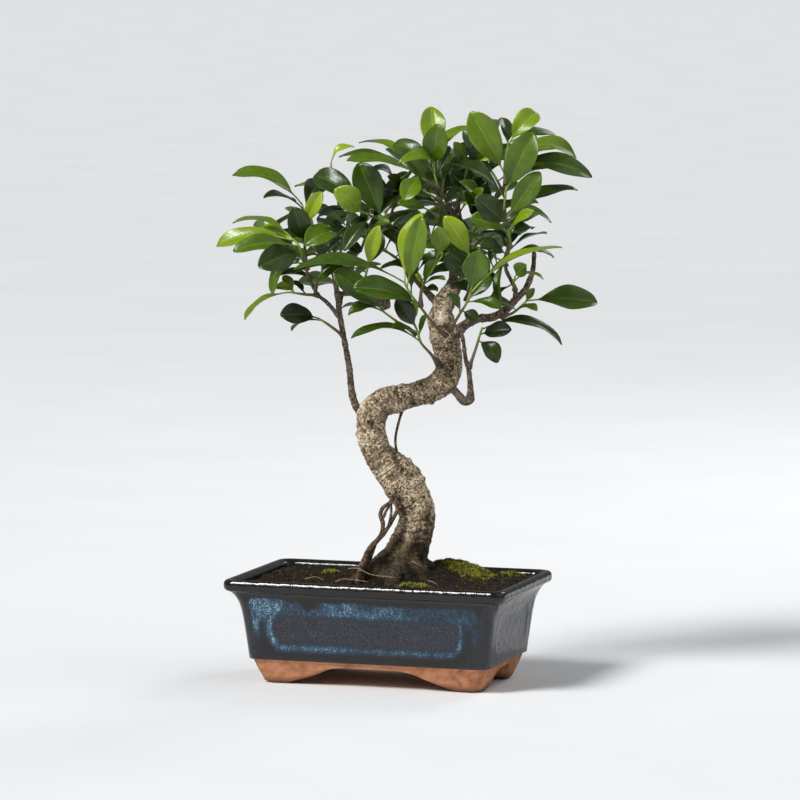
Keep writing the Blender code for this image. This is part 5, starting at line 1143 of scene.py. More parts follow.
def leaf(start, tip, width, face, arch, tone, wave):
    """Closed leaf: rings along an arched midrib, round in the stalk and lens-shaped in the blade."""
    along, out, across, length = leaf_frame(start, tip, face)
    even = np.linspace(0, 1, LEAF_ROWS)
    share = 0.985 * (even + 0.35 * (even - 0.5) * (1 - np.abs(2 * even - 1)) * -1)
    share = np.clip(share, 0, 0.985)
    turn = np.linspace(0, 2 * math.pi, LEAF_COLUMNS, endpoint=False)
    rise = (4 * arch * length * share * (1 - share))[:, None]
    middle = start + share[:, None] * length * along + rise * out
    slope = np.arctan(4 * arch * (1 - 2 * share))[:, None]
    normal = np.cos(slope) * out - np.sin(slope) * along
    half = np.maximum(width / 2 * blade_width(share), PETIOLE_RADIUS * (1 - 0.8 * eased(0.9, 1.0, share)))
    blade = eased(PETIOLE_RADIUS * 1.2, PETIOLE_RADIUS * 4, half)[:, None]
    thick = (PETIOLE_RADIUS * (1 - blade[:, 0]) + BLADE_THICKNESS / 2 * blade[:, 0])
    thick = np.minimum(thick, half)
    x = np.cos(turn)[None] + 0 * half[:, None]
    sine = np.sin(turn)[None]
    lift = math.sin(LEAF_FOLD) * (1.45 * np.abs(x) - 0.45 * x ** 2) * half[:, None] * blade
    curl = half[:, None] * x ** 2 * blade * 0.16 * np.sin(2 * math.pi * (1.6 * share[:, None] + wave) + x)
    rib = 0.35 * MM * np.exp(-(x / 0.10) ** 2) * (sine > 0) * blade * (1 - share[:, None])
    deep = -thick[:, None] * sine - rib + lift + curl
    rings = middle[:, None] + (x * half[:, None])[..., None] * across + deep[..., None] * normal[:, None]
    run = np.clip((share - PETIOLE_SHARE) / (1 - PETIOLE_SHARE), -0.2, 1)[:, None] + 0 * x
    values = {"across": x * blade, "along": run, "upper": np.clip(0.5 - 3 * sine, 0, 1) + 0 * x,
              "tone": tone + 0 * x, "chance": wave + 0 * x}
    marks = {mark: np.append(value.ravel(), [value[0].mean(), value[-1].mean()])
             for mark, value in values.items()}
    return {"points": capped(rings), "faces": [(block, 0) for block in skin(*x.shape)], "marks": marks}


# %% [markdown]
# ## Where each leaf sits
#
# The crown is drawn leaf by leaf: the place of its tip, its width, how its face is turned to the
# eye, its arch and its tone from near-black to yellow-green.  The tone is partly the leaf's age,
# with young leaves yellow-green, and partly painted shade: leaves deep in the crown and on its far
# side are given dark tones.  In the frame some leaves were eased a little off the drawing to clear
# their neighbours, so each is matched to the frame's own points: the small shift whose tip and
# widest points lie closest is used.

# %% Drawn shoots
# leaf tones, darkest first: the dark ones are partly the leaf's age and partly painted shade for leaves deep
# in the crown
DEEP, DARK, DIM, FULL, OLIVE, FRESH, YOUNG = 0.0, 0.17, 0.32, 0.48, 0.64, 0.82, 1.0

# Each shoot is its twig, as (u, v, w) in cm, and its leaves.  A leaf is: place along the twig
# from 0 to 1, tip as (u, v, w), width in cm, face in degrees, arch, tone.
# Face 0 shows the upper side to the drawing's eye, 90 turns it to the sky, 180 shows the back.
SHOOTS = {
    "shoot_far_left": ([(-5.8, 29.3, 1.5), (-5.95, 31.0, 1.0), (-6.0, 32.6, 0.8), (-6.1, 33.9, 0.6)], [
        (1.00, (-11.1, 36.0, -0.4), 1.75, 50, 0.20, FULL),
        (0.94, (-8.9, 34.4, 2.6), 1.20, 78, 0.14, DEEP),
        (0.42, (-6.75, 33.8, 2.6), 1.75, 5, 0.10, DARK),
        (0.86, (-4.4, 35.6, -1.0), 1.70, 22, 0.26, DEEP),
        (0.66, (-4.7, 34.9, 1.8), 1.15, 12, 0.08, YOUNG),
    ]),
    "shoot_left_fan": ([(-5.6, 28.6, 1.3), (-6.0, 29.8, 2.2), (-6.3, 30.9, 2.7), (-6.8, 31.5, 2.6)], [
        (0.97, (-11.1, 32.6, 1.2), 1.30, 72, 0.17, OLIVE),
        (0.90, (-9.5, 32.0, 0.2), 1.20, 55, 0.12, YOUNG),
        (0.80, (-11.1, 30.6, 4.2), 1.55, 38, 0.12, FULL),
        (0.95, (-12.25, 30.95, 2.2), 1.65, 42, 0.15, FRESH),
        (0.70, (-9.3, 29.5, 5.4), 2.10, 8, 0.10, DARK),
        (0.42, (-8.25, 27.5, 3.6), 1.30, 52, 0.30, FULL),
    ]),
    "shoot_left_low": ([(-5.0, 27.5, 0.8), (-5.9, 27.55, 1.4), (-7.0, 27.7, 2.0)], [
        (1.00, (-10.25, 25.7, 2.8), 1.15, 68, 0.14, OLIVE),
        (0.95, (-8.1, 28.0, 3.4), 0.75, 40, 0.25, FRESH),
        (0.85, (-7.5, 28.9, 1.8), 0.80, 20, 0.10, FULL),
        (0.45, (-7.1, 28.4, 0.2), 1.00, 60, 0.10, DARK),
    ]),
    "shoot_left_under": ([(-3.2, 24.6, 0.3), (-4.35, 25.45, 0.8), (-5.0, 25.85, 1.1)], [
        (1.00, (-7.75, 26.1, 2.4), 1.60, 22, 0.12, DEEP),
        (0.85, (-6.9, 24.95, -0.6), 0.95, 75, 0.14, DEEP),
    ]),
    "shoot_centre_left": ([(0.3, 32.2, 0.6), (-0.9, 32.95, 1.5), (-2.0, 33.45, 1.9), (-3.3, 33.7, 2.1)], [
        (0.22, (-2.15, 36.95, 1.0), 2.20, 5, 0.06, DIM),
        (0.10, (-1.15, 33.75, 3.6), 1.70, 25, 0.18, DARK),
        (0.62, (-5.3, 36.0, 0.6), 1.95, 18, 0.26, DARK),
        (0.70, (-3.9, 35.05, 3.6), 1.80, 12, 0.26, FRESH),
        (1.00, (-3.95, 34.95, 2.4), 0.85, 45, 0.10, YOUNG),
        (0.60, (-5.1, 33.2, 1.0), 1.30, 62, 0.12, DEEP),
        (0.48, (-3.2, 30.6, 2.9), 1.20, 25, 0.10, DARK),
        (0.35, (0.5, 35.2, -0.6), 1.40, 20, 0.10, DARK),
    ]),
    "shoot_left_top": ([(-3.4, 33.7, 1.4), (-3.85, 35.2, -0.2), (-4.1, 36.8, -0.6)], [
        (1.00, (-2.4, 38.0, -0.6), 0.80, 55, 0.28, YOUNG),
        (0.45, (-6.7, 35.2, -1.6), 0.90, 72, 0.08, OLIVE),
    ]),
    "shoot_front_left": ([(4.1, 24.6, 1.5), (3.3, 25.3, 2.1), (2.3, 26.6, 3.1), (1.6, 27.5, 3.8),
                          (1.1, 28.4, 4.2)], [
        (0.56, (-2.65, 28.0, 5.6), 2.00, 38, 0.14, DIM),
        (1.00, (-6.85, 29.3, 5.2), 1.55, 58, 0.14, DIM),
        (0.97, (2.4, 33.4, 3.9), 1.60, 30, 0.16, YOUNG),
        (0.92, (2.35, 33.2, 5.4), 1.60, 4, 0.10, OLIVE),
        (0.80, (1.95, 31.6, 4.6), 1.30, 20, 0.08, DARK),
    ]),
    "shoot_front_stem": ([(2.25, 26.7, 3.2), (2.35, 28.0, 3.7), (2.9, 29.1, 3.9), (3.8, 30.3, 4.1)], [
        (0.40, (1.9, 29.0, 5.0), 0.50, 10, 0.05, YOUNG),
        (0.42, (3.35, 30.1, 5.2), 0.85, 30, 0.08, FULL),
        (0.80, (4.1, 31.4, 3.2), 0.80, 40, 0.10, YOUNG),
        (0.38, (4.05, 28.6, 5.2), 0.80, 60, 0.12, FULL),
        (1.00, (3.5, 32.4, 5.2), 1.45, 5, 0.08, OLIVE),
        (0.30, (3.5, 27.8, 4.4), 0.90, 50, 0.10, DARK),
    ]),
    "shoot_spoon": ([(4.35, 25.0, 1.4), (5.0, 26.1, 2.6), (5.5, 26.9, 3.5), (5.8, 27.7, 4.1)], [
        (1.00, (6.4, 30.75, 5.6), 1.90, 0, 0.05, FULL),
        (0.96, (12.4, 30.9, 4.2), 1.45, 80, 0.12, FRESH),
        (0.80, (7.2, 28.9, 3.0), 1.30, 15, 0.06, DIM),
        (0.78, (8.1, 26.5, 4.8), 1.00, 45, 0.12, DIM),
        (0.55, (6.3, 25.7, 3.4), 1.00, 15, 0.10, DARK),
        (0.45, (4.1, 27.6, 3.8), 0.85, 50, 0.16, FULL),
    ]),
    "shoot_front_middle": ([(5.5, 27.1, 2.4), (5.85, 28.8, 2.8), (5.85, 30.1, 3.1)], [
        (1.00, (3.9, 33.15, 4.4), 1.55, 12, 0.10, YOUNG),
        (0.55, (3.9, 30.4, 4.0), 1.70, 10, 0.14, DARK),
        (0.92, (4.0, 31.0, 2.8), 0.95, 68, 0.10, DARK),
        (0.20, (4.9, 28.4, 2.2), 1.10, 30, 0.08, DARK),
    ]),
    "shoot_low_left": ([(3.5, 22.6, 0.8), (3.0, 23.3, 1.3), (2.3, 24.1, 1.9), (2.05, 24.9, 2.2),
                        (1.8, 25.5, 2.4)], [
        (0.60, (-2.75, 24.4, 3.2), 1.20, 62, 0.20, DIM),
        (0.80, (0.1, 25.2, 3.0), 0.85, 60, 0.10, FULL),
        (0.88, (0.5, 27.25, 3.0), 1.45, 10, 0.10, DEEP),
        (1.00, (1.75, 27.1, 2.6), 0.60, 30, 0.05, YOUNG),
        (0.72, (2.7, 26.2, 2.4), 0.60, 40, 0.06, FULL),
    ]),
    "shoot_low_middle": ([(2.0, 24.7, 1.8), (0.9, 25.4, 1.9), (0.2, 25.9, 2.0), (-0.35, 26.3, 2.1)], [
        (0.97, (-2.9, 26.05, 2.8), 1.15, 62, 0.20, FULL),
        (1.00, (-3.35, 26.6, 1.2), 1.00, 84, 0.12, DARK),
        (0.92, (-4.0, 29.35, 2.6), 1.80, 12, 0.10, DIM),
    ]),
    "shoot_loop": ([(5.7, 22.3, 1.1), (6.15, 23.6, 1.4), (6.45, 24.6, 1.6), (6.65, 25.2, 1.8)], [
        (0.82, (8.75, 25.05, 3.2), 1.30, 22, 0.10, DEEP),
        (0.66, (7.75, 22.65, 2.6), 1.35, 25, 0.26, DARK),
        (0.95, (12.35, 23.9, 2.0), 1.45, 60, 0.22, DARK),
    ]),
    "shoot_right_big": ([(8.0, 25.9, 0.9), (8.9, 26.3, 1.4), (9.8, 27.1, 1.7)], [
        (1.00, (14.85, 26.95, 1.6), 2.05, 32, 0.08, DIM),
        (0.60, (10.55, 26.4, 2.8), 0.90, 60, 0.14, FULL),
        (0.95, (10.35, 28.0, 2.4), 0.60, 20, 0.10, FULL),
        (0.55, (6.95, 27.1, 2.6), 1.20, 50, 0.12, DIM),
    ]),
    "shoot_fork_low": ([(8.95, 27.9, 0.6), (8.85, 28.4, 1.4), (8.95, 28.8, 1.9)], [
        (1.00, (9.75, 29.7, 2.8), 1.15, 15, 0.08, FULL),
        (0.60, (11.0, 28.6, 2.0), 0.70, 75, 0.26, FULL),
        (0.50, (7.1, 26.7, 1.0), 1.00, 66, 0.10, DARK),
    ]),
    "shoot_right_mid": ([(8.35, 30.1, 1.2), (8.6, 31.2, 1.7), (8.45, 32.2, 2.0)], [
        (0.12, (11.75, 30.15, 0.6), 1.10, 66, 0.15, DIM),
        (0.10, (6.4, 30.9, 2.6), 1.35, 45, 0.14, DARK),
        (0.05, (8.0, 26.7, 3.2), 0.90, 50, 0.14, DIM),
        (0.30, (6.5, 31.7, 4.6), 1.85, 18, 0.26, OLIVE),
        (0.40, (9.3, 31.8, 0.2), 0.80, 45, 0.14, DARK),
        (0.25, (11.25, 31.9, -0.8), 0.90, 78, 0.10, DARK),
        (0.92, (5.7, 33.0, 2.6), 1.40, 28, 0.08, FULL),
        (0.95, (10.3, 33.5, 3.6), 0.95, 50, 0.06, FRESH),
        (0.80, (10.15, 32.2, -0.4), 1.10, 50, 0.16, DARK),
    ]),
    "shoot_right_leader": ([(8.45, 32.3, 2.0), (8.2, 33.3, 2.1), (8.25, 34.6, 2.0), (8.35, 35.2, 1.9)], [
        (0.05, (6.1, 34.5, 3.8), 1.80, 8, 0.08, DARK),
        (0.15, (5.0, 34.05, 1.6), 0.80, 66, 0.08, YOUNG),
        (0.25, (13.45, 34.95, 1.0), 1.45, 55, 0.14, DIM),
        (0.12, (11.55, 32.6, 2.2), 0.85, 72, 0.26, FULL),
        (0.20, (10.75, 36.3, 3.2), 1.65, 2, 0.06, FULL),
        (0.85, (10.3, 39.1, 3.4), 2.20, 6, 0.10, FULL),
        (0.70, (4.2, 36.85, 1.8), 1.30, 50, 0.18, DARK),
        (1.00, (12.8, 36.65, 0.8), 1.20, 62, 0.12, OLIVE),
    ]),
    "shoot_right_top": ([(8.3, 35.3, 1.6), (8.2, 36.4, 1.0), (8.3, 37.4, 0.4), (8.5, 38.3, -0.1)], [
        (0.25, (5.75, 40.55, 2.2), 2.25, 6, 0.08, OLIVE),
        (0.95, (10.55, 40.4, -0.8), 1.70, 18, 0.24, FRESH),
        (0.88, (8.0, 40.1, -1.4), 1.20, 30, 0.10, DARK),
        (1.00, (12.0, 38.6, -1.8), 1.20, 55, 0.16, FULL),
        (0.60, (13.3, 37.2, -0.3), 1.60, 42, 0.28, OLIVE),
        (0.45, (14.45, 35.85, 1.2), 1.60, 28, 0.20, DIM),
        (0.40, (11.8, 37.9, 2.0), 1.10, 62, 0.08, FULL),
    ]),
    "shoot_top": ([(4.7, 33.2, -0.6), (4.0, 34.3, 0.4), (3.4, 35.5, 1.0), (3.15, 36.7, 1.2)], [
        (1.00, (3.0, 40.9, -0.4), 1.85, 8, 0.06, FRESH),
        (0.96, (3.5, 39.7, 2.6), 1.85, 6, 0.14, FULL),
        (0.92, (5.9, 39.4, 0.9), 1.20, 50, 0.26, OLIVE),
        (0.85, (0.6, 36.85, 3.4), 1.10, 55, 0.32, OLIVE),
        (0.88, (0.3, 38.2, 0.2), 1.50, 22, 0.26, DIM),
        (0.80, (2.5, 38.2, -1.2), 0.90, 25, 0.06, DARK),
        (0.75, (4.3, 38.1, -0.8), 0.95, 30, 0.08, DARK),
    ]),
    "shoot_top_left": ([(3.6, 35.0, 0.8), (2.7, 35.6, 1.4), (2.1, 36.1, 1.7)], [
        (0.97, (-3.05, 37.05, 2.4), 1.40, 55, 0.10, FULL),
        (0.90, (-3.6, 37.3, 0.6), 1.20, 68, 0.12, DIM),
        (1.00, (-2.15, 38.3, -0.6), 1.10, 60, 0.16, OLIVE),
        (0.60, (1.2, 37.4, 3.0), 1.30, 20, 0.08, FULL),
        (0.94, (1.05, 34.2, 3.6), 1.50, 8, 0.12, OLIVE),
        (0.30, (1.8, 34.55, 1.6), 0.70, 62, 0.08, DARK),
    ]),
    "shoot_centre_front": ([(4.3, 33.9, 0.5), (3.5, 33.8, 1.2), (2.75, 33.5, 1.8)], [
        (0.95, (0.6, 34.0, 3.0), 1.15, 35, 0.10, FULL),
        (1.00, (2.1, 31.4, 2.6), 0.90, 60, 0.10, DARK),
        (0.30, (1.2, 34.2, 0.8), 1.00, 70, 0.08, DARK),
    ]),
    "shoot_centre": ([(4.8, 33.4, -1.0), (5.2, 34.9, -0.6), (5.5, 36.2, -0.2), (6.0, 37.2, 0.2)], [
        (0.45, (4.3, 36.2, 0.8), 1.20, 20, 0.08, DARK),
        (0.72, (4.6, 38.4, 0.2), 0.95, 25, 0.10, FULL),
        (0.98, (5.5, 39.3, -1.2), 1.20, 20, 0.08, DARK),
        (0.80, (6.6, 38.2, 0.4), 0.95, 30, 0.06, DARK),
        (0.95, (6.5, 35.9, 1.8), 1.00, 15, 0.16, FULL),
        (1.00, (7.4, 37.2, 1.2), 0.60, 20, 0.08, YOUNG),
        (0.30, (7.9, 36.8, 0.2), 1.10, 50, 0.12, DARK),
        (0.20, (6.9, 35.6, -0.6), 1.20, 40, 0.14, DARK),
    ]),
    "shoot_knob": ([(-1.6, 27.65, -0.4), (-1.7, 28.5, 0.6), (-1.5, 29.4, 1.4)], [
        (0.85, (-6.75, 29.05, 3.0), 1.30, 66, 0.12, DARK),
        (0.97, (-0.65, 32.5, 3.2), 1.15, 12, 0.08, YOUNG),
        (1.00, (-0.6, 32.2, 1.8), 1.50, 5, 0.06, DARK),
    ]),
    "shoot_left_inner": ([(-3.9, 29.2, -0.2), (-4.3, 30.0, -0.2), (-4.0, 31.0, 0.2), (-3.4, 31.7, 0.6)], [
        (1.00, (-6.0, 31.0, 2.6), 1.75, 32, 0.26, FULL),
        (0.35, (-7.75, 29.9, 1.6), 1.20, 58, 0.12, OLIVE),
        (0.70, (-6.3, 31.9, -0.6), 1.20, 40, 0.12, DARK),
        (0.85, (-2.0, 30.5, 0.6), 1.00, 30, 0.14, DARK),
        (0.60, (-4.9, 33.0, -1.6), 1.30, 30, 0.10, DARK),
    ]),
}

# Shoots on the far side of the crown: root and end of the twig, leaf count, mean leaf length.
BACK_SHOOTS = {
    "shoot_back_right": ((5.4, 30.4, -5.2), (7.8, 31.8, -6.8), 6, 4.3),
    "shoot_back_top": ((5.2, 32.3, -5.8), (4.6, 35.2, -6.2), 7, 4.2),
    "shoot_back_middle": ((5.2, 29.2, -4.4), (3.0, 31.6, -6.6), 6, 4.4),
    "shoot_back_low": ((4.9, 28.0, -3.4), (7.4, 28.6, -5.2), 5, 4.2),
    "shoot_back_inner": ((4.5, 30.2, -1.8), (6.6, 32.4, -2.8), 6, 4.0),
    "shoot_back_crown": ((4.6, 32.8, -1.4), (2.4, 35.0, -3.4), 6, 4.2),
    "shoot_back_left": ((1.4, 29.4, -1.4), (-1.4, 31.0, -4.4), 6, 4.3),
    "shoot_back_far_left": ((-3.8, 28.8, -0.4), (-5.2, 31.0, -3.4), 6, 4.2),
    "shoot_back_left_low": ((-3.5, 26.9, -0.1), (-2.6, 28.6, -3.0), 4, 4.0),
    "shoot_back_high_right": ((6.0, 36.0, -0.6), (6.8, 37.0, -3.2), 5, 4.0),
}
SPIRAL = math.radians(137.5)     # turn from one leaf to the next

# Short sprigs inside the crown: root and end of the twig, leaf count, mean leaf length, and whether
# their leaves lie toward the eye (1) or away from it (-1).
INNER_SPRIGS = [
    ((-3.9, 29.4, -0.2), (-2.4, 32.4, -1.5), 6, 3.8, -1),
    ((0.6, 31.2, -0.1), (-0.6, 33.9, -1.2), 6, 3.9, -1),
    ((4.7, 32.0, -1.0), (3.2, 35.0, -1.6), 7, 3.8, -1),
    ((8.3, 31.0, 1.4), (7.2, 33.4, -0.8), 6, 3.8, -1),
    ((8.2, 34.6, 1.6), (6.6, 37.0, -0.8), 6, 3.6, -1),
    ((4.55, 28.9, -0.6), (4.2, 30.4, 1.4), 6, 3.1, 1),
    ((4.7, 27.9, -0.2), (6.0, 29.6, 1.0), 5, 3.0, 1),
    ((2.6, 27.8, -1.1), (1.6, 29.6, 0.2), 5, 3.1, 1),
    ((-5.6, 28.6, 1.2), (-6.4, 30.4, -0.4), 5, 3.3, -1),
    ((-5.3, 27.4, 0.6), (-4.4, 29.8, 1.2), 6, 3.0, 1),
    ((5.6, 30.4, 0.6), (6.4, 33.6, 0.8), 8, 3.3, 1),
    ((3.6, 32.0, -0.2), (3.9, 35.8, -0.6), 9, 3.4, -1),
    ((0.2, 33.0, -0.6), (0.6, 35.6, -0.8), 6, 3.2, 1),
    ((-7.8, 29.6, 0.6), (-8.6, 31.4, 0.2), 6, 3.2, -1),
    ((6.6, 28.0, 0.6), (8.2, 30.2, 0.2), 6, 3.0, -1),
    ((-2.0, 30.6, -0.4), (-1.2, 32.2, 0.4), 6, 3.0, 1),
]

# %% Match leaves to the frame
DEPTHS = np.arange(-9, 10) * 0.35
RISES = np.array([0, 0.25, -0.25, 0.5, -0.5])
SCALES = np.array([1.0, 0.88, 0.76])
TURNS = (0, 10, -10, 20, -20, 32, -32)
CLOSE = 1.6 * MM


def spiral_leaves(first, last, count, mean_length, seed, side=-1):
    """Leaves set in a spiral round a twig and drooping outward, on one side of the drawing."""
    chance = np.random.default_rng(seed)
    leaves = []
    for k in range(count):
        share = 0.35 + 0.65 * k / (count - 1)
        root = np.array(first) + (np.array(last) - first) * share
        turn = SPIRAL * k + chance.uniform(0, 1)
        rise = chance.uniform(-0.15, 0.55) + 0.35 * share
        length = mean_length * chance.uniform(0.8, 1.12)
        reach = length * math.cos(rise)
        step = (reach * math.cos(turn), length * math.sin(rise), side * abs(reach * math.sin(turn)) * 0.8)
        tip = tuple(root + step)
        width = length * chance.uniform(0.36, 0.44)
        face = chance.uniform(40, 80)
        # these leaves take only the darker tones, as painted shade on the far side of and inside the crown
        leaves.append((share, tip, width, 180 - face if side < 0 else face, chance.uniform(0.08, 0.2),
                       chance.choice([DARK, DIM, FULL])))
    return leaves


def frame_points(name):
    """Every point of a frame node, in metres."""
    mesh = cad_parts[name].data
    points = np.empty(len(mesh.vertices) * 3, dtype=np.float32)
    mesh.vertices.foreach_get("co", points)
    return np.unique(points.reshape(-1, 3).astype(float).round(6), axis=0)


def gap_to(points, place):
    """Distance from each place to the nearest of some points."""
    return np.sqrt(((np.atleast_2d(place)[:, None] - points[None]) ** 2).sum(axis=2).min(axis=1))


def widest(start, tip, width, face, arch):
    """The two edge points of the frame's leaf at 0.62 of its length."""
    along, out, across, length = leaf_frame(start, tip, face)
    share = 0.62
    slope = math.atan(4 * arch * (1 - 2 * share))
    normal = math.cos(slope) * out - math.sin(slope) * along
    blade = (share - PETIOLE_SHARE) / (1 - PETIOLE_SHARE)
    half = width / 2 * math.sin(math.pi * blade ** 1.12) ** 0.8 * (1 - 0.12 * blade)
    middle = start + share * length * along + 4 * arch * length * share * (1 - share) * out
    lift = normal * half * math.sin(LEAF_FOLD)
    return np.array([middle + across * half + lift, middle - across * half + lift])


def matched(start, drawn, points):
    """Start, tip, width, face and arch of a drawn leaf as it lies in the frame, or nothing."""
    _, tip, width, face, arch, _ = drawn
    depth, rise, scale = (grid.ravel() for grid in np.meshgrid(DEPTHS, RISES, SCALES, indexing="ij"))
    ends = start + (at(tip[0] + 0 * depth, tip[1] + rise, tip[2] + depth) - start) * scale[:, None]
    misses = gap_to(points, ends)
    best = (CLOSE, None)
    for k in np.flatnonzero(misses < CLOSE):
        for turn in TURNS:
            sizes = (width * scale[k] * CM, face + turn, arch)
            miss = misses[k] + gap_to(points, widest(start, ends[k], *sizes)).sum() / 2
            if miss < best[0]:
                best = (miss, (start, ends[k], *sizes))
    return best[1]


def along_path(places, share):
    """A point along a path by its share of the length."""
    run = np.concatenate([[0], np.cumsum(np.linalg.norm(np.diff(places, axis=0), axis=1))])
    return np.array([np.interp(share * run[-1], run, places[:, k]) for k in range(3)])


def shoot(name, twig_points, leaves):
    """One shoot: its twig, browner at the base, and every leaf that the frame holds."""
    count = len(twig_points)
    rows = [(*point, 0.12 - 0.05 * k / (count - 1)) for k, point in enumerate(twig_points)]
    places, radii = drawn_path(rows, 0.12)
    radii = radii * (1 + 0.9 * np.exp(-np.linspace(0, 8, len(radii)) ** 2))
    twig = rod(places, radii, 10, 0.06 * MM, 0.03 * MM, seed=len(name), look=1)
    points = frame_points(name)
    shapes, missing = [twig], 0
    for number, drawn in enumerate(leaves):
        found = matched(along_path(places, drawn[0]), drawn, points)
        if found is None:
            missing += 1
            continue
        wave = (0.37 * number + 0.11 * len(name)) % 1.0
        shapes.append(leaf(*found, drawn[5], wave))
    return joined(shapes), missing

# %% [markdown]
# ## Leaf finish
#
# A fig leaf is coated in wax: deep green, glossy above and duller and paler beneath.  The midrib
# is a fine pale line, the side veins are barely seen, and young leaves are yellow-green.  The
# tone of each leaf picks its colour from one ramp, whose darkest end is partly painted shade, and
# the attributes across and along the blade place the midrib, the veins and a pale edge, which is
# a painted highlight.

# %% Leaf and twig finishes
def waxy_leaf():
    """Living leaf: IOR of plant wax about 1.45, satin gloss above, nearly matt below."""
    material, tree, shader = new_material("fig_leaf_waxed_living")
    read = {name: add(tree, "ShaderNodeAttribute", attribute_name=name).outputs["Fac"]
            for name in ("across", "along", "upper", "tone", "chance")}
    place = add(tree, "ShaderNodeTexCoord").outputs["Object"]
    # blotches about 5 mm wide, and each leaf's own small shift of tone
    blotch = add(tree, "ShaderNodeTexNoise", {"Vector": place, "Scale": 190.0, "Detail": 2.0})
    shift = add(tree, "ShaderNodeMapRange", {0: blotch.outputs["Fac"], 1: 0.3, 2: 0.7, 3: -0.05, 4: 0.05})
    tone = add(tree, "ShaderNodeMath", {0: read["tone"], 1: shift.outputs[0]}, operation="ADD",
               use_clamp=True)
    # the darkest stops stand partly for painted shade on leaves deep in the crown
    upper = add(tree, "ShaderNodeValToRGB", {0: tone.outputs[0]},
                stops=[(0.0, "#192608"), (0.17, "#263806"), (0.32, "#344B06"), (0.48, "#466006"),
                       (0.64, "#5A7407"), (0.82, "#6E8609"), (1.0, "#849A12")])
    under = add(tree, "ShaderNodeValToRGB", {0: tone.outputs[0]},
                stops=[(0.0, "#3A4F28"), (0.5, "#56702F"), (1.0, "#8FA545")])
    sides = add(tree, "ShaderNodeMix", {0: read["upper"], 6: under.outputs[0], 7: upper.outputs[0]},
                data_type="RGBA")
    away = add(tree, "ShaderNodeMath", {0: read["across"]}, operation="ABSOLUTE").outputs[0]
    # side veins leave the midrib every 2.5 mm and lean toward the tip
    lean = add(tree, "ShaderNodeMath", {0: away, 1: -2.6, 2: 0.0}, operation="MULTIPLY_ADD")
    vein = add(tree, "ShaderNodeMath", {0: read["along"], 1: 15.0, 2: lean.outputs[0]},
               operation="MULTIPLY_ADD")
    vein = add(tree, "ShaderNodeMath", {0: vein.outputs[0], 1: 1.0}, operation="PINGPONG")
    vein = add(tree, "ShaderNodeMapRange", {0: vein.outputs[0], 1: 0.0, 2: 0.22, 3: 1.0, 4: 0.0})
    veined = add(tree, "ShaderNodeMath", {0: vein.outputs[0], 1: 0.05}, operation="MULTIPLY")
    light = add(tree, "ShaderNodeValToRGB", {0: tone.outputs[0]},
                stops=[(0.0, "#4A6630"), (0.5, "#7B963F"), (1.0, "#B4C765")])
    with_veins = add(tree, "ShaderNodeMix", {0: veined.outputs[0], 6: sides.outputs[2], 7: light.outputs[0]},
                     data_type="RGBA")
    rib = add(tree, "ShaderNodeMapRange", {0: away, 1: 0.008, 2: 0.05, 3: 0.5, 4: 0.0})
    # painted highlight: a pale rim along the blade's edge, as lit leaf edges look
    edge = add(tree, "ShaderNodeMapRange", {0: away, 1: 0.955, 2: 0.995, 3: 0.0, 4: 0.5})
    stalk = add(tree, "ShaderNodeMapRange", {0: read["along"], 1: -0.03, 2: 0.05, 3: 0.85, 4: 0.0})
    lines = add(tree, "ShaderNodeMath", {0: rib.outputs[0], 1: edge.outputs[0]}, operation="MAXIMUM")
    lines = add(tree, "ShaderNodeMath", {0: lines.outputs[0], 1: stalk.outputs[0]}, operation="MAXIMUM")
    colour = add(tree, "ShaderNodeMix", {0: lines.outputs[0], 6: with_veins.outputs[2], 7: light.outputs[0]},
                 data_type="RGBA")
    gloss = add(tree, "ShaderNodeMapRange", {0: read["upper"], 1: 0.0, 2: 1.0, 3: 0.55, 4: 0.30})
    fine = add(tree, "ShaderNodeTexNoise", {"Vector": place, "Scale": 700.0, "Detail": 2.0})
    swell = add(tree, "ShaderNodeMath", {0: vein.outputs[0], 1: -0.4, 2: fine.outputs["Fac"]},
                operation="MULTIPLY_ADD")
    bump = add(tree, "ShaderNodeBump", {"Height": swell.outputs[0], "Strength": 0.22, "Distance": 0.0005})
    tree.links.new(colour.outputs[2], shader.inputs["Base Color"])
    tree.links.new(gloss.outputs[0], shader.inputs["Roughness"])
    tree.links.new(bump.outputs[0], shader.inputs["Normal"])
    shader.inputs["IOR"].default_value = 1.45
    return material


def twig_skin():
    """Young wood: brown and corky at the base, green toward the growing end."""
    material, tree, shader = new_material("fig_twig_bark_young")
    bark = add(tree, "ShaderNodeAttribute", attribute_name="bark").outputs["Vector"]
    run = add(tree, "ShaderNodeAttribute", attribute_name="run").outputs["Fac"]
    noise = add(tree, "ShaderNodeTexNoise", {"Vector": bark, "Scale": 900.0, "Detail": 3.0})
    mixed = add(tree, "ShaderNodeMath", {0: noise.outputs["Fac"], 1: 0.3, 2: run}, operation="MULTIPLY_ADD")
    colour = add(tree, "ShaderNodeValToRGB", {0: mixed.outputs[0]},
                 stops=[(0.1, "#3F3227"), (0.45, "#6B5B41"), (0.75, "#6E7436"), (1.1, "#8AA043")])
    bump = add(tree, "ShaderNodeBump", {"Height": noise.outputs["Fac"], "Strength": 0.5, "Distance": 0.0005})
    tree.links.new(colour.outputs[0], shader.inputs["Base Color"])
    tree.links.new(bump.outputs[0], shader.inputs["Normal"])
    shader.inputs["Roughness"].default_value = 0.7
    return material


leaf_wax, twig_bark = waxy_leaf(), twig_skin()

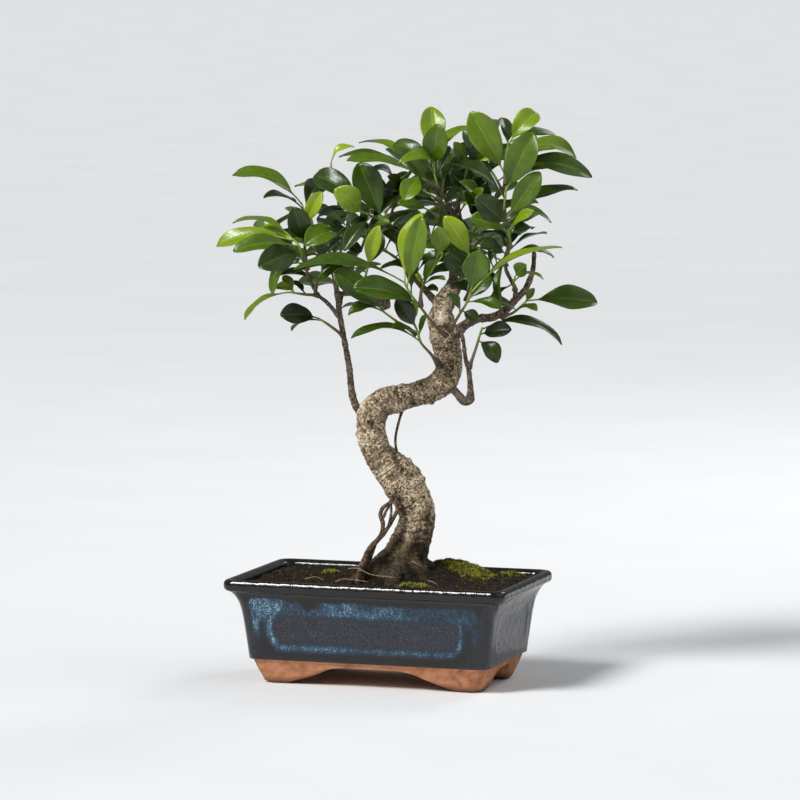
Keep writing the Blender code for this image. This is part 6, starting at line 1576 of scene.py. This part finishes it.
# %% Grow every shoot
BRIGHT_SHOOTS = ("shoot_right_top", "shoot_top", "shoot_front_stem", "shoot_left_top", "shoot_front_left",
                 "shoot_front_middle")
shoots = dict(SHOOTS)
for seed, (name, (first, last, count, mean_length)) in enumerate(BACK_SHOOTS.items()):
    middle = tuple((np.array(first) + last) / 2 + (0, 0.3, 0))
    shoots[name] = ([first, middle, last], spiral_leaves(first, last, count, mean_length, seed))
grown, left_out = 0, 0
for name, (twig_points, leaves) in shoots.items():
    shape, missing = shoot(name, twig_points, leaves)
    slot = "young_leaf" if name in BRIGHT_SHOOTS else "leaf"
    add_piece(name.replace("shoot_", "leafy_"), shape, [leaf_wax, twig_bark], [name], slot)
    grown += len(leaves) - missing
    left_out += missing
print("leaves grown", grown, "left out", left_out)

# %% [markdown]
# ## Inner sprigs
#
# The middle of a real crown is full of short dark sprigs.  The frame has no node for these, so they
# are for looks only and add nothing to its mass or its collision.  They are spiral shoots like those
# on the far side.  Their twigs were placed one by one, and more than half of them start clear of the
# wood: growing each from the nearest point of a branch would be the better way.

# %% Fill the crown with inner sprigs
sprigs = []
for seed, (first, last, count, mean_length, side) in enumerate(INNER_SPRIGS):
    middle = (np.array(first) + last) / 2 + (0, 0.3, 0)
    rows = [(*first, 0.11), (*middle, 0.09), (*last, 0.07)]
    places, radii = drawn_path(rows, 0.12)
    sprigs.append(rod(places, radii, 8, 0.05 * MM, seed=seed, look=1))
    # their leaves take only darker tones, as painted shade inside the crown
    for number, drawn in enumerate(spiral_leaves(first, last, count, mean_length, 50 + seed, side)):
        share, tip, width, face, arch, tone = drawn
        start = along_path(places, share)
        sprigs.append(leaf(start, at(*np.array(tip)), width * CM, face, arch, tone, 0.31 * number % 1.0))
add_piece("inner_sprigs", joined(sprigs), [leaf_wax, twig_bark], (), "leaf")
print("sprigs", len(INNER_SPRIGS))

# %% [markdown]
# ## Floor and lamps
#
# The floor is smooth pale painted board, so large that it also closes the background.  The lamps
# are broad, because a small lamp would give the glaze hard white dots and the leaves hard shadows.

# %% Floor
def painted_board():
    """Matt emulsion on board, rolled: pale grey with a trace of roller texture."""
    material, tree, shader = new_material("matt_emulsion_rolled")
    place = add(tree, "ShaderNodeTexCoord").outputs["Object"]
    noise = add(tree, "ShaderNodeTexNoise", {"Vector": place, "Scale": 6.0, "Detail": 2.0})
    colour = add(tree, "ShaderNodeValToRGB", {0: noise.outputs["Fac"]},
                 stops=[(0.3, "#DCDDDE"), (0.7, "#DFE0E1")])
    tree.links.new(colour.outputs[0], shader.inputs["Base Color"])
    shader.inputs["Roughness"].default_value = 0.9
    shader.inputs["Specular IOR Level"].default_value = 0.1
    return material


FLOOR_HALF = 24.0                # m
corners = np.array([(-1, -1, 0), (1, -1, 0), (1, 1, 0), (-1, 1, 0)]) * FLOOR_HALF + (0, 0, pot_low.z - 0.0002)
floor = add_piece("floor", {"points": corners, "faces": [(np.array([(0, 1, 2, 3)]), 0)], "marks": {}},
                  [painted_board()])

# %% Lamps
world = bpy.data.worlds.new("surround")
bpy.context.scene.world = world
world.use_nodes = True
surround = world.node_tree
ambient = surround.nodes["Background"]
ambient.inputs["Color"].default_value = linear("#F2F5F8")
ambient.inputs["Strength"].default_value = 0.22
# past the edge of the floor the eye meets a wall as pale as the floor
wall = add(surround, "ShaderNodeBackground", {"Color": linear("#E6E7E8"), "Strength": 1.0})
seen = add(surround, "ShaderNodeLightPath").outputs["Is Camera Ray"]
either = add(surround, "ShaderNodeMixShader", {0: seen, 1: ambient.outputs[0], 2: wall.outputs[0]})
surround.links.new(either.outputs[0], surround.nodes["World Output"].inputs["Surface"])


def lamp(name, kind, place, energy, size, colour="#FFFFFF"):
    """A broad lamp that looks at the middle of the tree; place is drawn u, v, w in metres."""
    data = bpy.data.lights.new(name, kind)
    data.energy = energy
    data.color = linear(colour)[:3]
    if kind == "SUN":
        data.angle = math.radians(size)
    else:
        data.shape = "RECTANGLE"
        data.size, data.size_y = size
    item = bpy.data.objects.new(name, data)
    bpy.context.scene.collection.objects.link(item)
    item.location = turned(np.float64(place[0]), place[2], place[1]) + POT_CENTRE
    aim = Vector(turned(np.float64(0.0), 0.0, 0.2) + POT_CENTRE) - item.location
    item.rotation_euler = aim.to_track_quat("-Z", "Y").to_euler()
    return item


lamp("key_sky", "SUN", (-2.6, 3.3, 2.0), 3.4, 20)
lamp("fill_sky", "SUN", (2.4, 2.6, 1.0), 0.5, 60)
lamp("softbox_left", "AREA", (-1.3, 1.3, 1.4), 7.0, (0.5, 0.9))
lamp("softbox_behind", "AREA", (1.1, 1.3, -1.2), 9.0, (0.5, 0.9))
